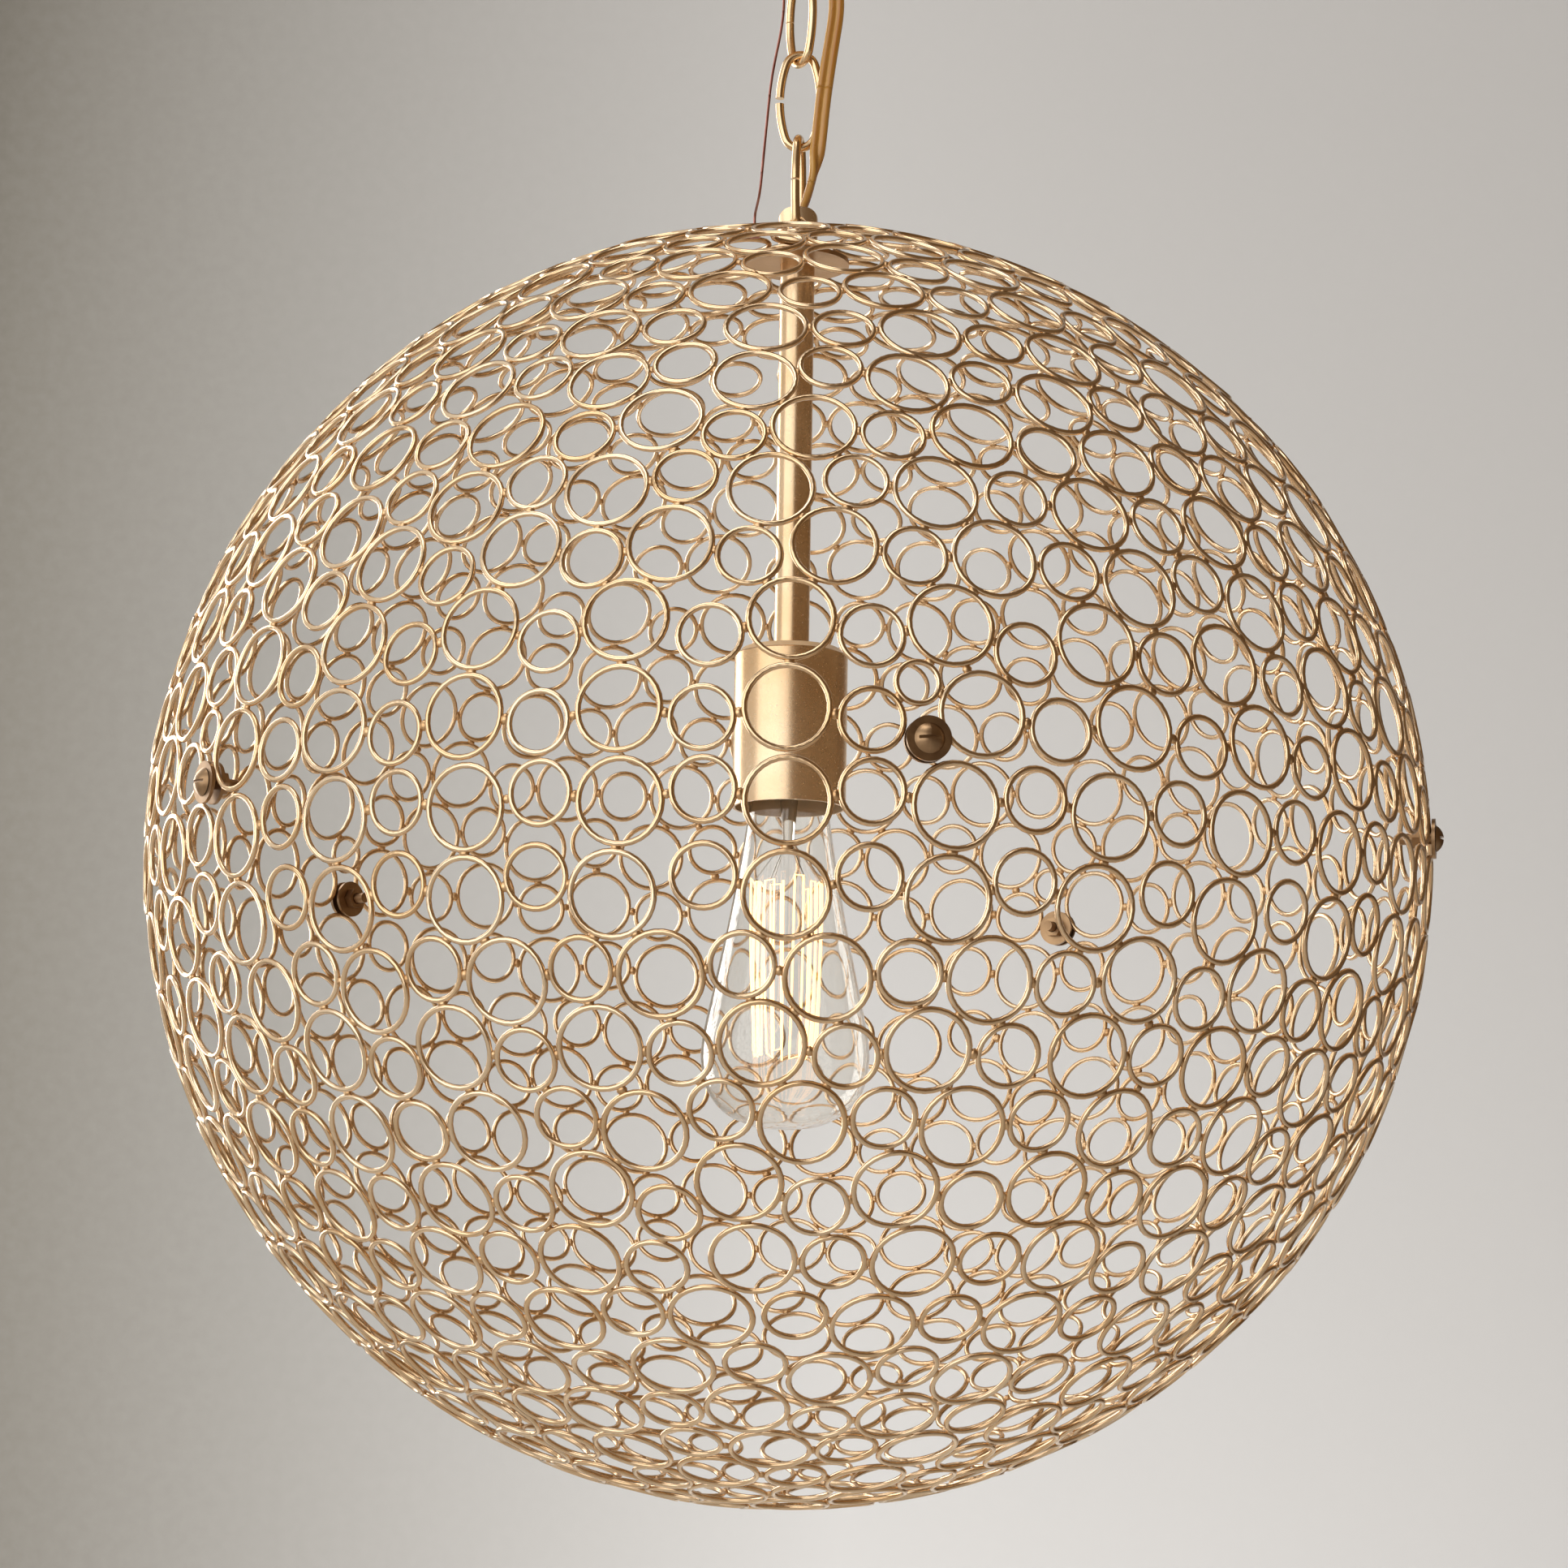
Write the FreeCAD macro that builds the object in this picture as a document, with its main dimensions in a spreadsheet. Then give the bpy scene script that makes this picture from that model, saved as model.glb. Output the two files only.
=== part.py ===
import FreeCAD, Part
import math
import os
import Sketcher

# An orb pendant: a ball of welded wire rings in two screwed halves, hung on a short
# chain from a ceiling canopy, with a stem, a socket cup and a clear bulb inside.
# The origin is on the ceiling, above the orb's centre. Z is up, and the viewer is at -Y.

SIZES = {
    # the ball of rings
    "orb_diameter": 457.2,
    "ring_wire": 2.0,
    "big_ring": 28.0,
    "small_ring": 21.4,
    "mini_ring": 15.3,
    "weld_space": 0.2,
    "seam_gap": 0.5,
    "bead_from": 1.0,
    "bead_across": 1.3,
    "bead_space": 0.44,
    "seam_latitude": 3.2,
    "row_pitch": 6.2,
    "row_count": 14,
    "ring_sides": 6,
    "screw_azimuth": 10.5,
    "screw_space": 8.4,
    "mini_rise": 25.2,
    "sector_one": 10,
    "sector_two": 11,
    "sector_three": 12,
    "sector_four": 11,
    "sector_five": 10,
    # the screws that hold the halves together
    "screw_rise": 5.5,
    "screw_shank": 4.0,
    "screw_length": 12.6,
    "head_diameter": 9.4,
    "head_height": 2.6,
    "slot_width": 1.0,
    "washer_diameter": 14.0,
    "washer_thick": 1.2,
    "nut_across": 7.0,
    "nut_height": 3.0,
    "fit_space": 0.2,
    # stem, check plate and cap
    "stem_diameter": 12.7,
    "stem_bore": 10.3,
    "nipple_diameter": 10.0,
    "nipple_bore": 8.2,
    "nipple_length": 22.0,
    "nipple_rise": 4.0,
    "plate_diameter": 38.0,
    "plate_thick": 1.6,
    "cap_diameter": 14.5,
    "cap_cheeks": 7.4,
    "cap_bow": 20.0,
    "cap_height": 20.0,
    "cap_bar_rise": 10.8,
    "cap_eye_radius": 3.45,
    "cap_eye_lift": 1.75,
    "cord_hole": 4.7,
    # chain
    "chain_wire": 3.0,
    "link_length": 39.0,
    "link_width": 18.0,
    "link_end_radius": 5.6,
    "link_split": 0.7,
    "link_play": 0.35,
    "link_turn": 56.0,
    "first_link_turn": 80.4,
    # ceiling fitting
    "bar_length": 104.0,
    "bar_width": 18.0,
    "bar_thick": 1.8,
    "slot_spacing": 88.9,
    "slot_length": 9.0,
    "slot_wide": 4.8,
    "drop_nipple": 9.6,
    "drop_bore": 6.6,
    "drop_length": 19.0,
    "locknut_across": 14.0,
    "locknut_height": 3.0,
    "canopy_diameter": 127.0,
    "canopy_depth": 22.0,
    "canopy_wall": 1.0,
    "canopy_shoulder": 9.0,
    "canopy_hole": 26.2,
    "neck_diameter": 25.4,
    "neck_bore": 13.4,
    "neck_top": 14.0,
    "neck_bottom": 29.0,
    "eye_drop": 35.0,
    "eye_radius": 9.25,
    "eye_wire": 4.5,
    "collar_diameter": 36.0,
    "collar_height": 6.0,
    # socket cup and lampholder, by height above the orb's centre
    "cup_top": 79.0,
    "cup_diameter": 41.0,
    "cup_length": 58.0,
    "cup_wall": 1.0,
    "cup_corner": 2.5,
    "holder_diameter": 36.0,
    "holder_length": 38.0,
    "holder_wall": 2.2,
    "holder_gap": 1.5,
    "shell_bore": 26.8,
    "shell_wall": 0.5,
    "shell_length": 25.0,
    "contact_diameter": 9.0,
    "contact_thick": 0.8,
    # bulb
    "base_diameter": 26.0,
    "base_length": 22.0,
    "tip_diameter": 9.0,
    "tip_height": 2.4,
    "glass_diameter": 60.3,
    "glass_neck": 28.0,
    "glass_wall": 0.8,
    "glass_pip": 3.0,
    "glass_top": 30.0,
    "glass_wide": -64.0,
    "glass_bottom": -95.0,
    "mount_tube": 9.0,
    "mount_length": 34.0,
    "filament_top": -5.0,
    "filament_bottom": -71.0,
    "filament_across": 26.0,
    "filament_strands": 12,
    "filament_wire": 0.5,
    # flat cord and ground wire
    "cord_tube": 4.0,
    "ground_wire": 1.0,
    "lug_diameter": 3.6,
    "lug_length": 3.4,
}

BAND_ROWS = 2
SETTLE_PASSES = 160
DRAW_PASSES = 100

# Where the flat cord and the ground wire run: x, y and the height above one of the chain's bars.
CORD_ROUTE = (
    (0.6, 0.0, "eye", 33.25), (0.6, 0.0, "eye", 17.25), (5.0, -2.0, "eye", 6.25),
    (9.4, -4.8, "eye", -3.25), (9.0, -5.0, "eye", -12.75), (8.0, -4.9, "three", 5.15),
    (7.3, -4.9, "three", -4.35), (5.8, -4.9, "three", -17.35), (4.5, -4.7, "two", 1.8),
    (4.1, -3.4, "two", -8.2), (2.6, 0.4, "one", 14.45), (1.2, 2.6, "one", 9.35),
    (4.4, 0.4, "one", 0.0), (1.2, 0.0, "one", -6.15), (1.2, 0.0, "one", -24.05),
)
GROUND_ROUTE = (
    (-2.4, 0.0, "eye", 33.25), (-2.4, 0.0, "eye", 18.25), (-7.6, -0.2, "eye", 4.25),
    (-9.6, -2.6, "eye", -6.75), (-10.4, -3.5, "eye", -18.75), (-13.2, -4.4, "three", -5.85),
    (-14.2, -5.6, "two", 10.8), (-14.9, -7.5, "two", -5.2), (-15.3, -12.5, "one", 11.45),
    (-15.8, -25.0, "one", 1.45), (-16.0, -36.0, "one", -6.05),
)
CORD_CUTS = (4, 7, 10)
GROUND_CUTS = (4, 6, 8)

doc = FreeCAD.newDocument("orb_pendant")
sheet = doc.addObject("Spreadsheet::Sheet", "sizes")
for row_number, (size_name, number) in enumerate(SIZES.items(), start=1):
    sheet.set(f"A{row_number}", size_name)
    sheet.set(f"B{row_number}", str(number))
    sheet.setAlias(f"B{row_number}", size_name)
doc.recompute()

parts = []


def size(name):
    """A driving size, read back from the sheet."""
    return float(sheet.get(name))


def vec(x, y, z):
    return FreeCAD.Vector(x, y, z)


def keep(piece, name, place=None):
    """Name a finished sub-part, set its place, and list it for the export."""
    piece.Label = name
    if place is not None:
        piece.Placement = place
    parts.append(piece)
    return piece


def up(z):
    return FreeCAD.Placement(vec(0, 0, z), FreeCAD.Rotation())


def feature(name, shape, place=None):
    """A sub-part whose shape is made with Part's own functions."""
    piece = doc.addObject("Part::Feature", name)
    piece.Shape = shape
    return keep(piece, name, place)


# ---------------------------------------------------------------- bodies from sketches


def origin_plane(body, role):
    return [item for item in body.Origin.OriginFeatures if item.Role == role][0]


def sketch_on(body, role, name, offset=None):
    sketch = body.newObject("Sketcher::SketchObject", name)
    sketch.AttachmentSupport = [(origin_plane(body, role), "")]
    sketch.MapMode = "FlatFace"
    if offset is not None:
        sketch.setExpression(".AttachmentOffset.Base.z", offset)
    return sketch


def outline(sketch, corners):
    """A closed outline whose corners are pairs of expressions on the sheet."""
    places = [(evaluate(a), evaluate(b)) for a, b in corners]
    count = len(corners)
    for i in range(count):
        start = vec(places[i][0], places[i][1], 0)
        end = vec(places[(i + 1) % count][0], places[(i + 1) % count][1], 0)
        sketch.addGeometry(Part.LineSegment(start, end), False)
    for i in range(count):
        sketch.addConstraint(Sketcher.Constraint("Coincident", i, 2, (i + 1) % count, 1))
    for i, corner in enumerate(corners):
        for kind, text, value in zip(("DistanceX", "DistanceY"), corner, places[i]):
            number = sketch.addConstraint(Sketcher.Constraint(kind, -1, 1, i, 1, value))
            if text != "0":
                sketch.setExpression(f"Constraints[{number}]", text)


def evaluate(text):
    """The number that an expression on the sheet gives."""
    names = {name: size(name) for name in SIZES if name in text}
    for name in sorted(names, key=len, reverse=True):
        text = text.replace("sizes." + name, repr(names[name]))
    return float(FreeCAD.Units.Quantity(text).Value)


def circle(sketch, radius, x="0"):
    """A circle of a radius given by an expression, on the sketch's X axis."""
    number = sketch.addGeometry(Part.Circle(vec(evaluate(x), 0, 0), vec(0, 0, 1), evaluate(radius)), False)
    limit = sketch.addConstraint(Sketcher.Constraint("Radius", number, evaluate(radius)))
    sketch.setExpression(f"Constraints[{limit}]", radius)
    if x == "0":
        sketch.addConstraint(Sketcher.Constraint("Coincident", number, 3, -1, 1))
        return
    sketch.addConstraint(Sketcher.Constraint("PointOnObject", number, 3, -1))
    limit = sketch.addConstraint(Sketcher.Constraint("DistanceX", -1, 1, number, 3, evaluate(x)))
    sketch.setExpression(f"Constraints[{limit}]", x)


def hexagon(sketch, across):
    """A six-sided outline, its flats a given width apart."""
    corner = f"{across} / 2 / cos(30)"
    half = f"{across} / 2"
    short = f"{across} / 4 / cos(30)"
    width = size(across.replace("sizes.", ""))
    reach = width / 2 / math.cos(math.pi / 6)
    places = [vec(reach * math.cos(k * math.pi / 3), reach * math.sin(k * math.pi / 3), 0) for k in range(6)]
    texts = (
        (corner, "0"), (short, half), (f"-{short}", half),
        (f"-{corner}", "0"), (f"-{short}", f"-{half}"), (short, f"-{half}"),
    )
    for k in range(6):
        sketch.addGeometry(Part.LineSegment(places[k], places[(k + 1) % 6]), False)
    for k in range(6):
        sketch.addConstraint(Sketcher.Constraint("Coincident", k, 2, (k + 1) % 6, 1))
    for k, (x_text, y_text) in enumerate(texts):
        for kind, text, value in (("DistanceX", x_text, places[k].x), ("DistanceY", y_text, places[k].y)):
            number = sketch.addConstraint(Sketcher.Constraint(kind, -1, 1, k, 1, value))
            if text != "0":
                sketch.setExpression(f"Constraints[{number}]", text)


def new_body(name):
    return doc.addObject("PartDesign::Body", name + "_body")


def pad(body, sketch, length):
    made = body.newObject("PartDesign::Pad", "pad")
    made.Profile = sketch
    made.setExpression("Length", length)
    sketch.Visibility = False
    return made


def turned_body(name, corners, place):
    """A body turned about Z from an outline in its XZ plane."""
    body = new_body(name)
    sketch = sketch_on(body, "XZ_Plane", name + "_profile")
    outline(sketch, corners)
    turn = body.newObject("PartDesign::Revolution", "turn")
    turn.Profile = sketch
    turn.ReferenceAxis = (sketch, ["V_Axis"])
    turn.Angle = 360
    doc.recompute()
    return keep(body, name, place)


def tube_body(name, outer, inner, length, place):
    """A plain tube, washer or ring standing on its own XY plane."""
    body = new_body(name)
    sketch = sketch_on(body, "XY_Plane", name + "_ring")
    circle(sketch, outer)
    circle(sketch, inner)
    pad(body, sketch, length)
    doc.recompute()
    return keep(body, name, place)


def nut_body(name, across, bore, height, place):
    body = new_body(name)
    sketch = sketch_on(body, "XY_Plane", name + "_hexagon")
    hexagon(sketch, across)
    circle(sketch, bore)
    pad(body, sketch, height)
    doc.recompute()
    return keep(body, name, place)


# ---------------------------------------------------------------- heights in the stack

row_step = math.radians(size("row_pitch"))
ball_radius = math.sqrt(
    (size("orb_diameter") / 2 - size("ring_wire") / 2) ** 2 - (size("big_ring") / 2 - size("ring_wire") / 2) ** 2
)
link_reach = size("link_length") - size("chain_wire")
link_overlap = size("chain_wire") + size("link_play")
eye_bar = -size("eye_drop") - size("eye_radius")
eye_seat = size("eye_wire") / 2 + size("chain_wire") / 2 + size("link_play")
bar_three = eye_bar + eye_seat - link_reach
bar_two = bar_three + link_overlap - link_reach
bar_one = bar_two + link_overlap - link_reach
plate_top = bar_one - size("cap_bar_rise")
plate_under_pole = (
    (ball_radius - size("plate_diameter") / 2 * math.sin(row_step)) / math.cos(row_step)
    - size("ring_wire") / 2
    - size("fit_space")
)
orb_centre = plate_top - plate_under_pole


# ---------------------------------------------------------------- ceiling fitting


def make_crossbar():
    """A flat bar with a centre hole and a slot near each end, screwed to the ceiling box."""
    body = new_body("crossbar")
    sketch = sketch_on(body, "XY_Plane", "crossbar_outline")
    half_long = "sizes.bar_length / 2"
    half_wide = "sizes.bar_width / 2"
    outline(sketch, (
        (f"-{half_long}", f"-{half_wide}"), (half_long, f"-{half_wide}"),
        (half_long, half_wide), (f"-{half_long}", half_wide),
    ))
    pad(body, sketch, "sizes.bar_thick")
    holes = sketch_on(body, "XY_Plane", "crossbar_holes")
    circle(holes, "sizes.drop_nipple / 2 + sizes.fit_space / 4")
    cut = body.newObject("PartDesign::Pocket", "centre_hole")
    cut.Profile = holes
    cut.Type = "ThroughAll"
    cut.Reversed = True
    for side, sign in (("left", "-"), ("right", "")):
        slot = sketch_on(body, "XY_Plane", f"{side}_slot")
        slot_outline(slot, sign)
        cut = body.newObject("PartDesign::Pocket", f"{side}_slot_cut")
        cut.Profile = slot
        cut.Type = "ThroughAll"
        cut.Reversed = True
    doc.recompute()
    return keep(body, "crossbar", up(-size("bar_thick")))


def slot_outline(sketch, sign):
    """A round-ended slot along X, centred half the slot spacing from the middle."""
    middle = size("slot_spacing") / 2 * (-1 if sign else 1)
    reach = (size("slot_length") - size("slot_wide")) / 2
    radius = size("slot_wide") / 2
    sketch.addGeometry(Part.LineSegment(vec(middle - reach, radius, 0), vec(middle + reach, radius, 0)), False)
    right = Part.Circle(vec(middle + reach, 0, 0), vec(0, 0, 1), radius)
    sketch.addGeometry(Part.ArcOfCircle(right, -math.pi / 2, math.pi / 2), False)
    sketch.addGeometry(Part.LineSegment(vec(middle + reach, -radius, 0), vec(middle - reach, -radius, 0)), False)
    left = Part.Circle(vec(middle - reach, 0, 0), vec(0, 0, 1), radius)
    sketch.addGeometry(Part.ArcOfCircle(left, math.pi / 2, 3 * math.pi / 2), False)
    sketch.addConstraint(Sketcher.Constraint("Tangent", 0, 2, 1, 2))
    sketch.addConstraint(Sketcher.Constraint("Tangent", 1, 1, 2, 1))
    sketch.addConstraint(Sketcher.Constraint("Tangent", 2, 2, 3, 2))
    sketch.addConstraint(Sketcher.Constraint("Tangent", 3, 1, 0, 1))
    sketch.addConstraint(Sketcher.Constraint("Horizontal", 0))
    for arc, part_sign in ((1, 1), (3, -1)):
        sketch.addConstraint(Sketcher.Constraint("PointOnObject", arc, 3, -1))
        text = f"{sign}sizes.slot_spacing / 2 + {part_sign} * (sizes.slot_length - sizes.slot_wide) / 2"
        value = middle + part_sign * reach
        limit = sketch.addConstraint(Sketcher.Constraint("DistanceX", -1, 1, arc, 3, value))
        sketch.setExpression(f"Constraints[{limit}]", text)
    limit = sketch.addConstraint(Sketcher.Constraint("Radius", 1, radius))
    sketch.setExpression(f"Constraints[{limit}]", "sizes.slot_wide / 2")


def make_canopy():
    """A spun pan that hides the ceiling box, with a rounded shoulder."""
    radius = size("canopy_diameter") / 2
    depth = size("canopy_depth")
    wall = size("canopy_wall")
    hole = size("canopy_hole") / 2
    shoulder = size("canopy_shoulder")

    def half(reach, low, bend):
        lean = bend * math.sqrt(0.5)
        return (
            Part.LineSegment(vec(hole, 0, low), vec(reach - bend, 0, low)),
            Part.Arc(
                vec(reach - bend, 0, low),
                vec(reach - bend + lean, 0, low + bend - lean),
                vec(reach, 0, low + bend),
            ),
            Part.LineSegment(vec(reach, 0, low + bend), vec(reach, 0, 0)),
        )

    outer = half(radius, -depth, shoulder)
    inner = half(radius - wall, -depth + wall, shoulder - wall)
    edges = [curve.toShape() for curve in outer + inner]
    edges.append(Part.LineSegment(vec(hole, 0, -depth), vec(hole, 0, -depth + wall)).toShape())
    edges.append(Part.LineSegment(vec(radius, 0, 0), vec(radius - wall, 0, 0)).toShape())
    face = Part.Face(Part.Wire(Part.__sortEdges__(edges)))
    feature("canopy", face.revolve(vec(0, 0, 0), vec(0, 0, 1), 360))


def make_canopy_loop():
    """The threaded neck that carries the chain, with its bail below the canopy."""
    low = -size("neck_bottom")
    high = -size("neck_top")
    body = Part.makeCylinder(size("neck_diameter") / 2, high - low, vec(0, 0, low))
    shelf = -size("drop_length")
    body = body.cut(Part.makeCylinder(size("neck_bore") / 2, shelf - low, vec(0, 0, low)))
    thread = size("drop_nipple") / 2 + size("fit_space") / 4
    body = body.cut(Part.makeCylinder(thread, high - low, vec(0, 0, low)))
    centre = vec(0, 0, -size("eye_drop"))
    radius = size("eye_radius")
    wire = size("eye_wire") / 2
    top = low + wire / 2
    path = Part.Wire([
        Part.LineSegment(vec(-radius, 0, top), vec(-radius, 0, centre.z)).toShape(),
        Part.Arc(vec(-radius, 0, centre.z), vec(0, 0, centre.z - radius), vec(radius, 0, centre.z)).toShape(),
        Part.LineSegment(vec(radius, 0, centre.z), vec(radius, 0, top)).toShape(),
    ])
    ring = Part.Wire(Part.Circle(vec(-radius, 0, top), vec(0, 0, 1), wire).toShape())
    bail = path.makePipeShell([ring], True, False)
    turn = FreeCAD.Placement(vec(0, 0, 0), FreeCAD.Rotation(vec(0, 0, 1), 90 - size("link_turn")))
    feature("canopy_loop", body.fuse(bail).removeSplitter(), turn)


def make_ceiling_fitting():
    make_crossbar()
    thread = "sizes.drop_nipple / 2"
    tube_body("drop_nipple", thread, "sizes.drop_bore / 2", "sizes.drop_length", up(-size("drop_length")))
    under_bar = -size("bar_thick") - size("locknut_height")
    bore = "sizes.drop_nipple / 2 + sizes.fit_space / 4"
    nut_body("drop_locknut", "sizes.locknut_across", bore, "sizes.locknut_height", up(under_bar))
    make_canopy_loop()
    make_canopy()
    inner = "sizes.neck_diameter / 2 + sizes.fit_space"
    low = -size("canopy_depth") - size("collar_height") - size("fit_space")
    tube_body("collar_ring", "sizes.collar_diameter / 2", inner, "sizes.collar_height", up(low))


# ---------------------------------------------------------------- chain


def link_shape():
    """An oval wire link, upright in the XZ plane, with its butt joint open on the left side."""
    long_half = link_reach / 2
    short_half = (size("link_width") - size("chain_wire")) / 2
    end = size("link_end_radius")
    rise = long_half - end
    side = (rise ** 2 + short_half ** 2 - end ** 2) / (2 * (short_half - end))
    lean = math.atan2(rise, side - short_half)
    split = math.asin(size("link_split") / 2 / side)

    def on_side(angle, sign):
        return vec(sign * (side * math.cos(angle) - side + short_half), 0, side * math.sin(angle))

    def on_end(angle, sign):
        return vec(end * math.cos(angle), 0, sign * (rise + end * math.sin(angle)))

    meet = lean
    steps = (
        (on_side(split, -1), on_side((split + meet) / 2, -1), on_side(meet, -1)),
        (on_side(meet, -1), on_end(math.pi / 2, 1), on_side(meet, 1)),
        (on_side(meet, 1), on_side(0, 1), on_side(-meet, 1)),
        (on_side(-meet, 1), on_end(math.pi / 2, -1), on_side(-meet, -1)),
        (on_side(-meet, -1), on_side(-(split + meet) / 2, -1), on_side(-split, -1)),
    )
    path = Part.Wire([Part.Arc(*step).toShape() for step in steps])
    start = path.Edges[0]
    tangent = start.tangentAt(start.FirstParameter)
    ring = Part.Wire(Part.Circle(steps[0][0], tangent, size("chain_wire") / 2).toShape())
    return path.makePipeShell([ring], True, False)


def make_chain():
    turns = (size("first_link_turn"), 0.0, -size("link_turn"))
    for number, (bar, turn) in enumerate(zip((bar_one, bar_two, bar_three), turns), start=1):
        place = FreeCAD.Placement(vec(0, 0, bar + link_reach / 2), FreeCAD.Rotation(vec(0, 0, 1), turn))
        feature(f"chain_link_{number}", link_shape(), place)


# ---------------------------------------------------------------- cap, check plate and stem


def make_cap():
    """The domed cap on the stem: bowed cheeks, the chain's cross hole and the cord's slanted hole."""
    radius = size("cap_diameter") / 2
    height = size("cap_height")
    lean = radius * math.sqrt(0.5)
    face = Part.Face(Part.Wire([
        Part.LineSegment(vec(0, 0, 0), vec(radius, 0, 0)).toShape(),
        Part.LineSegment(vec(radius, 0, 0), vec(radius, 0, height - radius)).toShape(),
        Part.Arc(
            vec(radius, 0, height - radius), vec(lean, 0, height - radius + lean), vec(0, 0, height)
        ).toShape(),
        Part.LineSegment(vec(0, 0, height), vec(0, 0, 0)).toShape(),
    ]))
    cap = face.revolve(vec(0, 0, 0), vec(0, 0, 1), 360)
    bar = size("cap_bar_rise")
    eye = size("cap_eye_radius")
    collar = bar - 2 * eye
    bow = size("cap_bow")
    offset = bow - size("cap_cheeks") / 2
    cheeks = Part.makeCylinder(bow, height, vec(0, offset, collar))
    cheeks = cheeks.common(Part.makeCylinder(bow, height, vec(0, -offset, collar)))
    cap = cap.common(cheeks).fuse(cap.common(Part.makeCylinder(radius, collar)))
    eye_at = vec(0, -2 * radius, bar + size("cap_eye_lift"))
    cap = cap.cut(Part.makeCylinder(eye, 4 * radius, eye_at, vec(0, 1, 0)))
    thread = size("nipple_diameter") / 2 + size("fit_space") / 4
    cap = cap.cut(Part.makeCylinder(thread, size("nipple_rise") + size("fit_space")))
    hole = tube_along(placed(CORD_ROUTE)[CORD_CUTS[-1]:], size("cord_hole") / 2, "cord hole")
    hole.translate(vec(0, 0, -plate_top))
    feature("loop_cap", cap.cut(hole).removeSplitter(), up(plate_top))


def make_stem():
    make_cap()
    hole = "sizes.nipple_diameter / 2 + sizes.fit_space / 4"
    rim = "sizes.plate_diameter / 2"
    plate_low = plate_top - size("plate_thick")
    turned_body(
        "check_plate",
        ((hole, "0"), (rim, "0"), (rim, "sizes.plate_thick"), (hole, "sizes.plate_thick")),
        up(plate_low),
    )
    high = plate_top + size("nipple_rise")
    thread = "sizes.nipple_diameter / 2"
    bore = "sizes.nipple_bore / 2"
    tube_body("cap_nipple", thread, bore, "sizes.nipple_length", up(high - size("nipple_length")))
    cup_top = orb_centre + size("cup_top")
    body = new_body("stem")
    sketch = sketch_on(body, "XY_Plane", "stem_ring")
    circle(sketch, "sizes.stem_diameter / 2")
    circle(sketch, "sizes.stem_bore / 2")
    made = body.newObject("PartDesign::Pad", "pad")
    made.Profile = sketch
    made.Length = plate_low - cup_top
    doc.recompute()
    keep(body, "stem", up(cup_top))
    low = cup_top - size("cup_wall") - size("locknut_height") - size("holder_gap")
    tube_body("cup_nipple", thread, bore, "sizes.nipple_length", up(low))
    nut_low = cup_top - size("cup_wall") - size("locknut_height")
    nut_body("cup_locknut", "sizes.locknut_across", hole, "sizes.locknut_height", up(nut_low))


# ---------------------------------------------------------------- socket cup and lampholder


def make_socket():
    cup_low = orb_centre + size("cup_top") - size("cup_length")
    rim = "sizes.cup_diameter / 2"
    inner = "sizes.cup_diameter / 2 - sizes.cup_wall"
    hole = "sizes.nipple_diameter / 2 + sizes.fit_space / 4"
    corner = "sizes.cup_corner"
    turned_body(
        "socket_cup",
        (
            (inner, "0"), (rim, "0"), (rim, f"sizes.cup_length - {corner}"),
            (f"{rim} - {corner}", "sizes.cup_length"), (hole, "sizes.cup_length"),
            (hole, "sizes.cup_length - sizes.cup_wall"),
            (f"{inner} - {corner}", "sizes.cup_length - sizes.cup_wall"),
            (inner, f"sizes.cup_length - sizes.cup_wall - {corner}"),
        ),
        up(cup_low),
    )
    holder_high = orb_centre + size("cup_top") - size("cup_wall") - size("locknut_height") - size("fit_space")
    holder_low = holder_high - size("holder_length")
    outer = "sizes.holder_diameter / 2"
    cave = "sizes.holder_diameter / 2 - sizes.holder_wall"
    lid = "sizes.holder_length - 3 * sizes.holder_wall"
    turned_body(
        "lampholder",
        ((cave, "0"), (outer, "0"), (outer, "sizes.holder_length"), (hole, "sizes.holder_length"), (hole, lid), (cave, lid)),
        up(holder_low),
    )
    roof = holder_high - 3 * size("holder_wall")
    shell_low = roof - size("shell_length") - size("fit_space")
    bore = "sizes.shell_bore / 2"
    tube_body("screw_shell", f"{bore} + sizes.shell_wall", bore, "sizes.shell_length", up(shell_low))
    body = new_body("centre_contact")
    sketch = sketch_on(body, "XY_Plane", "contact_disc")
    circle(sketch, "sizes.contact_diameter / 2")
    pad(body, sketch, "sizes.contact_thick")
    doc.recompute()
    keep(body, "centre_contact", up(roof - size("contact_thick") - size("fit_space")))
    return roof - size("contact_thick") - 2 * size("fit_space")


# ---------------------------------------------------------------- bulb


def make_bulb(contact_low):
    """A clear pear bulb: tip, screw base, blown glass, inner mount and a cage of filament."""
    tip_low = contact_low - size("tip_height")
    radius = "sizes.tip_diameter / 2"
    turned_body(
        "bulb_tip",
        (("0", "0"), (radius, "0"), (f"{radius} * 0.7", "sizes.tip_height"), ("0", "sizes.tip_height")),
        up(tip_low),
    )
    base_high = tip_low - size("fit_space")
    base_low = base_high - size("base_length")
    base_radius = "sizes.base_diameter / 2"
    base_wall = "sizes.base_diameter / 2 - 2 * sizes.shell_wall"
    turned_body(
        "bulb_base",
        (
            (base_wall, "0"), (base_radius, "0"), (base_radius, "sizes.base_length - 4 * sizes.shell_wall"),
            (radius, "sizes.base_length"), ("0", "sizes.base_length"),
            ("0", "sizes.base_length - 2 * sizes.shell_wall"),
            (base_wall, "sizes.base_length - 4 * sizes.shell_wall"),
        ),
        up(base_low),
    )
    make_glass(base_low - size("fit_space"))
    mount_high = base_low - size("fit_space")
    mount_low = mount_high - size("mount_length")
    mount = size("mount_tube") / 2
    stalk = Part.makeCone(mount * 0.45, mount, size("mount_length"), vec(0, 0, mount_low))
    feature("bulb_mount", stalk)
    make_filament(mount_low)


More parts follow.
